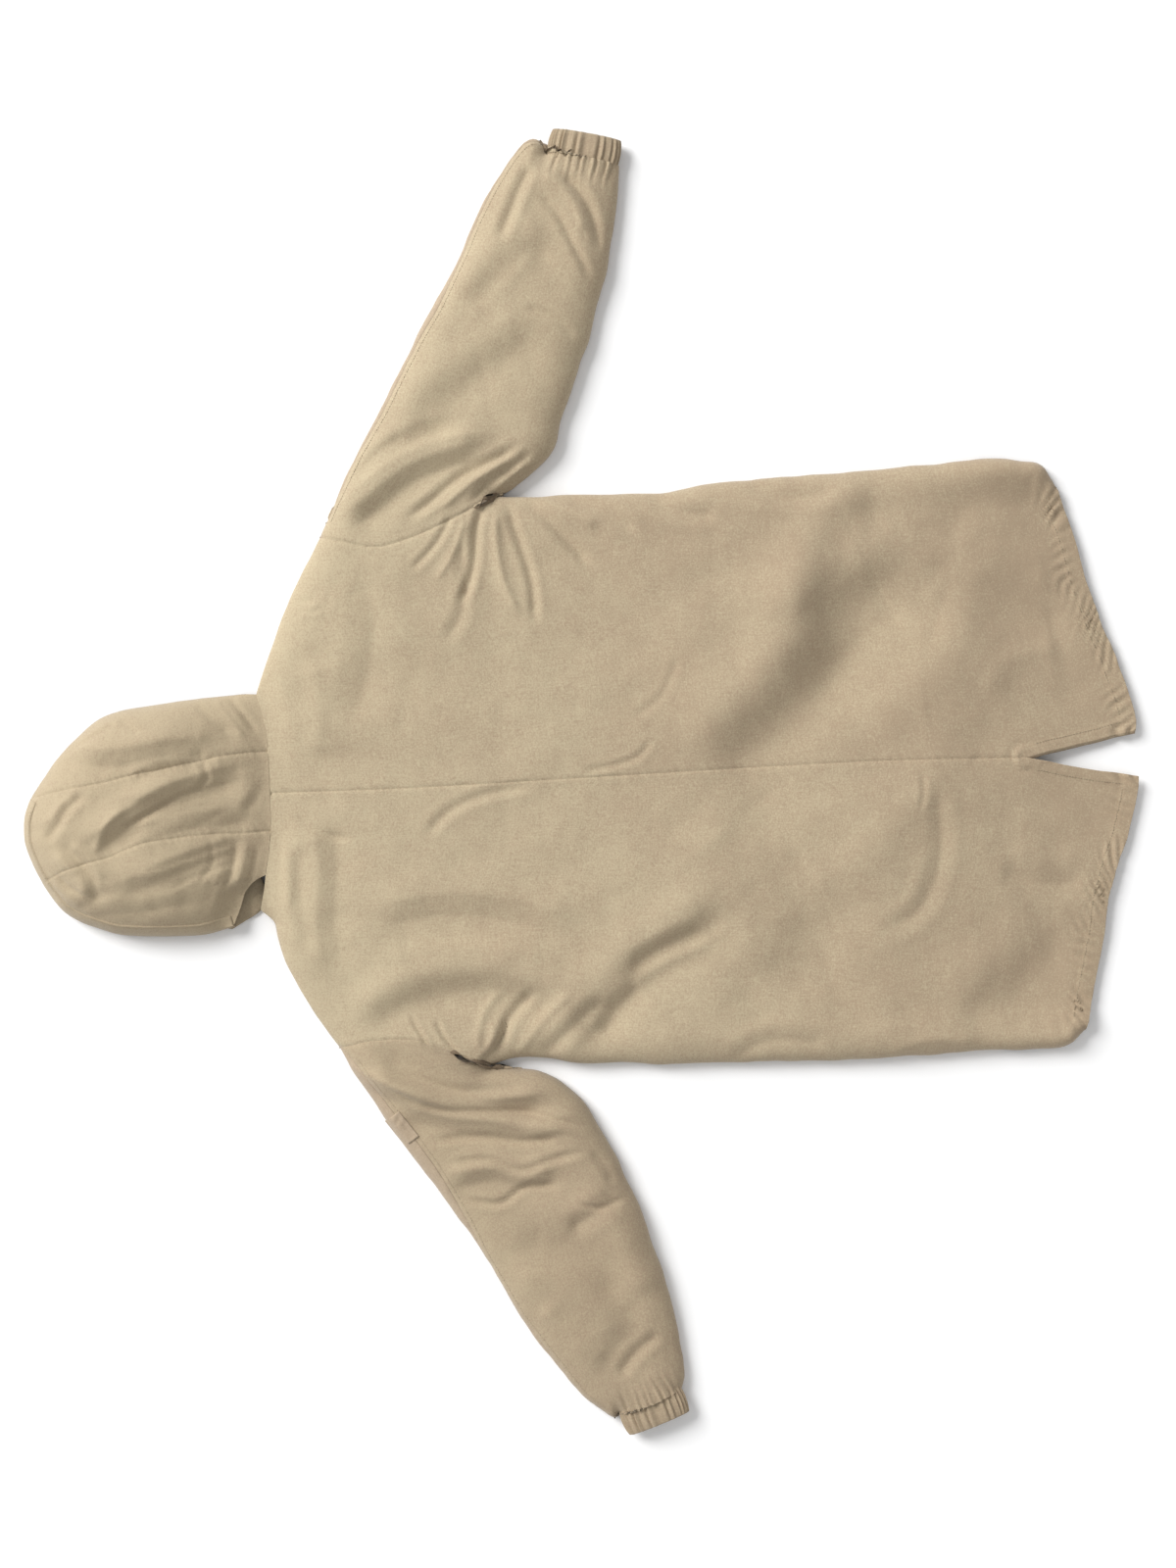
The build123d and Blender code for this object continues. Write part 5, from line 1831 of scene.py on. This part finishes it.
@dataclass
class Hood(Maker):
    """Three-panel hood with its lining and the hem of its opening."""

    step: float = 2.6
    cloth: float = 1.5
    lining_depth: float = 4.8
    hem: float = 13.0
    # Insets of the hem's rows over the hood, then inset and height of those turned under it.
    hem_over: tuple[float, ...] = (13.0, 11.0, 8.5, 6.0, 4.0, 2.4, 1.2, 0.4)
    hem_under: tuple[tuple[float, float], ...] = (
        (-0.7, 6.0), (-0.9, 4.0), (0.2, 2.4), (2.5, 1.4), (7.0, 1.0), (14.0, 1.0), (22.0, 1.3))
    bend_reach: float = 56.0

    def tie(self, made: bpy.types.Object) -> None:
        """Bakes a piece's placement into its mesh; no bend across the neck seam is applied.

        Args:
            made: The piece.
        """
        x, start = SEAM_X * MM, NECK * MM
        start + self.bend_reach * MM
        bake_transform(made)

    def build(self) -> None:
        """Makes the panels, the lining, the hem and the stitches."""
        right = Grid.at(coons(between(NECK_LINE, NECK_SEAM_RIGHT, NECK_RIGHT), self.cut_right()[0],
                              self.cut_right()[1], HOOD["seam_right"],
                              spaced(66, self.step, start=4, end=40),
                              spaced(270, self.step, start=5, end=26)),
                        self.relief.hood)
        centre = Grid.at(coons(between(NECK_LINE, NECK_SEAM_LEFT, NECK_SEAM_RIGHT),
                               HOOD["seam_right"], HOOD["crown"], HOOD["seam_left"],
                               spaced(92, self.step, start=4, end=4),
                               spaced(270, self.step, start=5, end=30)),
                         self.relief.hood)
        south = join(HOOD["lip"], between(NECK_LINE, NECK_LEFT, NECK_SEAM_LEFT))
        left = Grid.at(coons(south, HOOD["seam_left"], HOOD["corner"], HOOD["left"],
                             spaced(100, self.step, start=40, end=4),
                             spaced(250, self.step, start=5, end=26)),
                       self.relief.hood)
        centre_cloth = centre.tucked(Edge.SOUTH).tucked(Edge.WEST, Edge.EAST, drop=1.1)
        shapes = {"hood_side_right": right.tucked(Edge.SOUTH).shell(self.cloth),
                  "hood_centre_panel": centre_cloth.shell(self.cloth),
                  "hood_side_left": left.shell(self.cloth) + self.flap()}
        areas = (0.023, 0.027, 0.031)
        # The hood's panels take the darker copy of the shell cloth: painted shade.
        for (name, shape), area in zip(shapes.items(), areas):
            self.piece(shape, name, self.finishes.deep, "shell_cloth", [name],
                       Cut(0.15, 0.31, area=area))
        self.lining(left, centre, right)
        self.opening()

    def flap(self) -> Shape:
        """Front edge of the left panel, which lies under the hood beside the neck.

        Returns:
            Its shape.
        """
        out = spline([(-158, 410), (-150, 396), (-138, 376), (-120, 366)])
        under = spline([(-150, 450), (-120, 430), (-96, 404), (-84, 380)])
        ends = [np.stack([out[k], under[k]]) for k in (0, -1)]
        plan = coons(out, ends[1], under, ends[0], np.linspace(0, 1, 24), np.linspace(0, 1, 16))

        def height(x: np.ndarray, y: np.ndarray) -> np.ndarray:
            """Height at plan places."""
            gap = distance(x, y, [out])
            return 3.4 + 3.4 * smooth(gap, 0, 18) + 0.8 * noise(x, y, 16, 62)

        return Grid.at(plan, height).shell(self.cloth)

    @staticmethod
    def cut_right() -> tuple[np.ndarray, np.ndarray]:
        """Cuts the hood's right line where the side turns into the crown.

        Returns:
            The edge of the side, and the part of the crown that closes its right panel.
        """
        edge = HOOD["right"]
        split = int(np.argmax(edge[:, 1] > 575))
        return edge[: split + 1], edge[split:][::-1]

    def lining(self, *grids: Grid) -> None:
        """Lining of the hood in one sheet.

        Args:
            grids: Of the panels, from left to right.
        """
        rows = min(g.points.shape[0] for g in grids)
        sheets = []
        for grid in grids:
            pick = np.linspace(2, grid.points.shape[0] - 6, rows).astype(int)
            sheets.append(grid.sunk(self.lining_depth).points[pick])
        both = np.concatenate([sheets[0][:, 4:-1], sheets[1][:, :-1], sheets[2][:, :-4]], axis=1)
        both = both[::2, ::2]
        both[..., 2] = np.maximum(both[..., 2], LINING_CLEAR)
        self.piece(Grid(both).shell(0.5), "hood_lining", self.finishes.lining, "lining",
                   ["hood_lining"], Cut(0.30, 0.30, area=0.072))

    def opening(self) -> None:
        """Hem round the opening, turned over the crown and the left edge."""
        brim = HOOD["brim"]
        brim = resample(brim, np.linspace(0, 1, int(length_of(brim) / 2.2)))
        rows = []
        for k, gap in enumerate(self.hem_over):
            flat = inset(brim, -gap)
            rise = 0.2 if k == 0 else 1.0
            rows.append(np.column_stack([flat, self.relief.hood(flat[:, 0], flat[:, 1]) + rise]))
        for gap, height in self.hem_under:
            flat = inset(brim, -gap)
            rows.append(np.column_stack([flat, np.full(len(flat), height)]))
        # The hem takes the darker copy of the shell cloth: painted shade.
        self.piece(Grid(np.array(rows)).shell(1.0), "hood_opening_hem", self.finishes.deep,
                   "shell_cloth", ["hood_opening_hem"],
                   Cut(0.44, 0.06, area=0.0225, held=Held.FOLDED))
        row = stitches(inset(brim, -(self.hem - 2.2))[4:-4],
                       lambda x, y: self.relief.hood(x, y) + 1.0)
        self.piece(row, "hood_hem_stitching", self.finishes.thread, "shell_cloth")


@dataclass
class Zip(Maker):
    """Front zip: tapes, interlocked teeth, and the metal fittings."""

    low: float = -469.7
    high: float = 279.7
    pitch: float = 3.4
    tape: tuple[float, float] = (3.4, 22.0)
    tape_height: tuple[float, float] = (4.5, 5.3)
    teeth_height: tuple[float, float] = (3.3, 6.5)

    def build(self) -> None:
        """Makes tapes and teeth, and dresses the fittings."""
        for side in SIDES:
            self.tape_on(side)
            self.teeth_on(side)
        for name in ("zip_slider", "zip_pull", "zip_box", "zip_pin", "zip_top_stops"):
            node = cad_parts[name]
            node.data.materials.clear()
            node.data.materials.append(self.finishes.metal)
            log.info("%s: dressed", name)

    def tape_on(self, side: str) -> None:
        """Woven tape of one side.

        Args:
            side: Right or left.
        """
        sign = 1 if side == "right" else -1
        u, v = np.meshgrid(np.linspace(self.tape[0] - 1, self.tape[1], 12),
                           np.arange(self.low, self.high, 4))
        z = self.tape_height[1] + 0 * u
        grid = Grid(np.stack([SEAM_X + sign * u, v, z], axis=-1))
        self.piece(grid.shell(self.tape_height[1] - self.tape_height[0]),
                   f"zip_tape_{side}", self.finishes.tape, "tape", [f"zip_tape_{side}"],
                   Cut(0.0196, 0.75))

    def teeth_on(self, side: str) -> None:
        """Moulded teeth of one side, each with a narrow neck and a wider head.

        Args:
            side: Right or left.
        """
        sign = 1 if side == "right" else -1
        shift = 0.0 if side == "right" else self.pitch / 2
        reach = np.array([3.4, 1.9, 0.9, -0.7, -1.2])
        half = np.array([0.75, 0.62, 0.5, 0.72, 0.5])
        ease = np.array([0.4, 0.1, 0.2, 0.1, 0.6])
        low, high = self.teeth_height
        faces = tube_faces(len(reach))
        made = []
        for start in np.arange(self.low + 3 + shift, self.high - 2, self.pitch):
            rings = [np.array([[x, start - h, low + e], [x, start + h, low + e],
                               [x, start + h, high - e], [x, start - h, high - e]])
                     for x, h, e in zip(SEAM_X + sign * reach, half, ease)]
            made.append(Shape(np.vstack(rings), faces if sign > 0 else faces[:, ::-1]))
        row = self.piece(together(made), f"zip_teeth_row_{side}", self.finishes.metal,
                         "zip_metal", [f"zip_teeth_{side}"])
        for polygon in row.data.polygons:
            polygon.use_smooth = False


# ---------------------------------------------------------------- stage


@dataclass
class Studio:
    """Camera over the coat, its pale floor and the soft light."""

    centre: tuple[float, float] = (-0.0112, -0.0067)
    view_height: float = 2.55
    plane: float = 0.02
    long_side: float = 1.792
    right: tuple[float, float] = (-0.0488, -0.9988)
    key_place: tuple[float, float, float] = (6.2, 7.9, 6.8)
    key_size: float = 6.4
    key_power: float = 1880.0
    fill_place: tuple[float, float, float] = (-1.6, -1.2, 2.6)
    fill_size: float = 2.5
    fill_power: float = 10.0
    sky: float = 0.46
    floor_side: float = 60.0

    def camera(self) -> None:
        """Looks straight down, with the hood to the left of the picture."""
        made = bpy.data.cameras.new("camera")
        made.sensor_width = 36.0
        made.lens = 36.0 * self.view_height / self.long_side
        made.clip_end = 50
        rig = bpy.data.objects.new("camera", made)
        rig.rotation_euler = (0, 0, math.atan2(self.right[1], self.right[0]))
        rig.location = (*self.centre, self.view_height + self.plane)
        bpy.context.scene.collection.objects.link(rig)
        bpy.context.scene.camera = rig

    def floor(self, finishes: Finishes) -> None:
        """Flat floor that runs out of every view.

        Args:
            finishes: Materials, the floor's among them.
        """
        side = self.floor_side / 2 / MM
        corners = np.array([[-side, -side, 0], [side, -side, 0], [side, side, 0], [-side, side, 0]])
        made = Shape(corners, np.array([[0, 1, 2, 3]])).object("floor")
        made.data.materials.append(finishes.floor)

    def lamp(self, name: str, place: tuple[float, float, float], size: float,
             power: float) -> None:
        """Square soft light that faces the coat.

        Args:
            name: Of the light.
            place: Where it hangs, in metres.
            size: Of its side.
            power: In watts.
        """
        made = bpy.data.lights.new(name, "AREA")
        made.shape, made.size, made.energy = "SQUARE", size, power
        lamp = bpy.data.objects.new(name, made)
        lamp.location = place
        aim = math.hypot(place[0], place[1])
        lamp.rotation_euler = (0, math.atan2(aim, place[2]), math.atan2(place[1], place[0]))
        bpy.context.scene.collection.objects.link(lamp)

    def build(self, finishes: Finishes) -> None:
        """Sets the stage.

        Args:
            finishes: Materials, the floor's among them.
        """
        self.camera()
        self.floor(finishes)
        self.lamp("key", self.key_place, self.key_size, self.key_power)
        self.lamp("fill", self.fill_place, self.fill_size, self.fill_power)
        world = bpy.data.worlds.new("sky")
        world.use_nodes = True
        backdrop = world.node_tree.nodes["Background"]
        backdrop.inputs["Color"].default_value = (1.0, 1.0, 1.0, 1)
        backdrop.inputs["Strength"].default_value = self.sky
        bpy.context.scene.world = world
        bpy.context.scene.view_settings.view_transform = "Standard"


def main() -> None:
    """Builds the coat piece by piece."""
    logging.basicConfig(level=logging.INFO, format="%(message)s")
    finishes, relief = Finishes(), Relief()
    Studio().build(finishes)
    Torso(relief, finishes).build()
    Neckline(relief, finishes).build()
    for side in SIDES:
        Sleeve(relief, finishes, side=side).build()
        Cuff(relief, finishes, side=side).build()
    SleeveTab(relief, finishes).build()
    Hood(relief, finishes).build()
    Zip(relief, finishes).build()


if __name__ == "__main__":
    main()
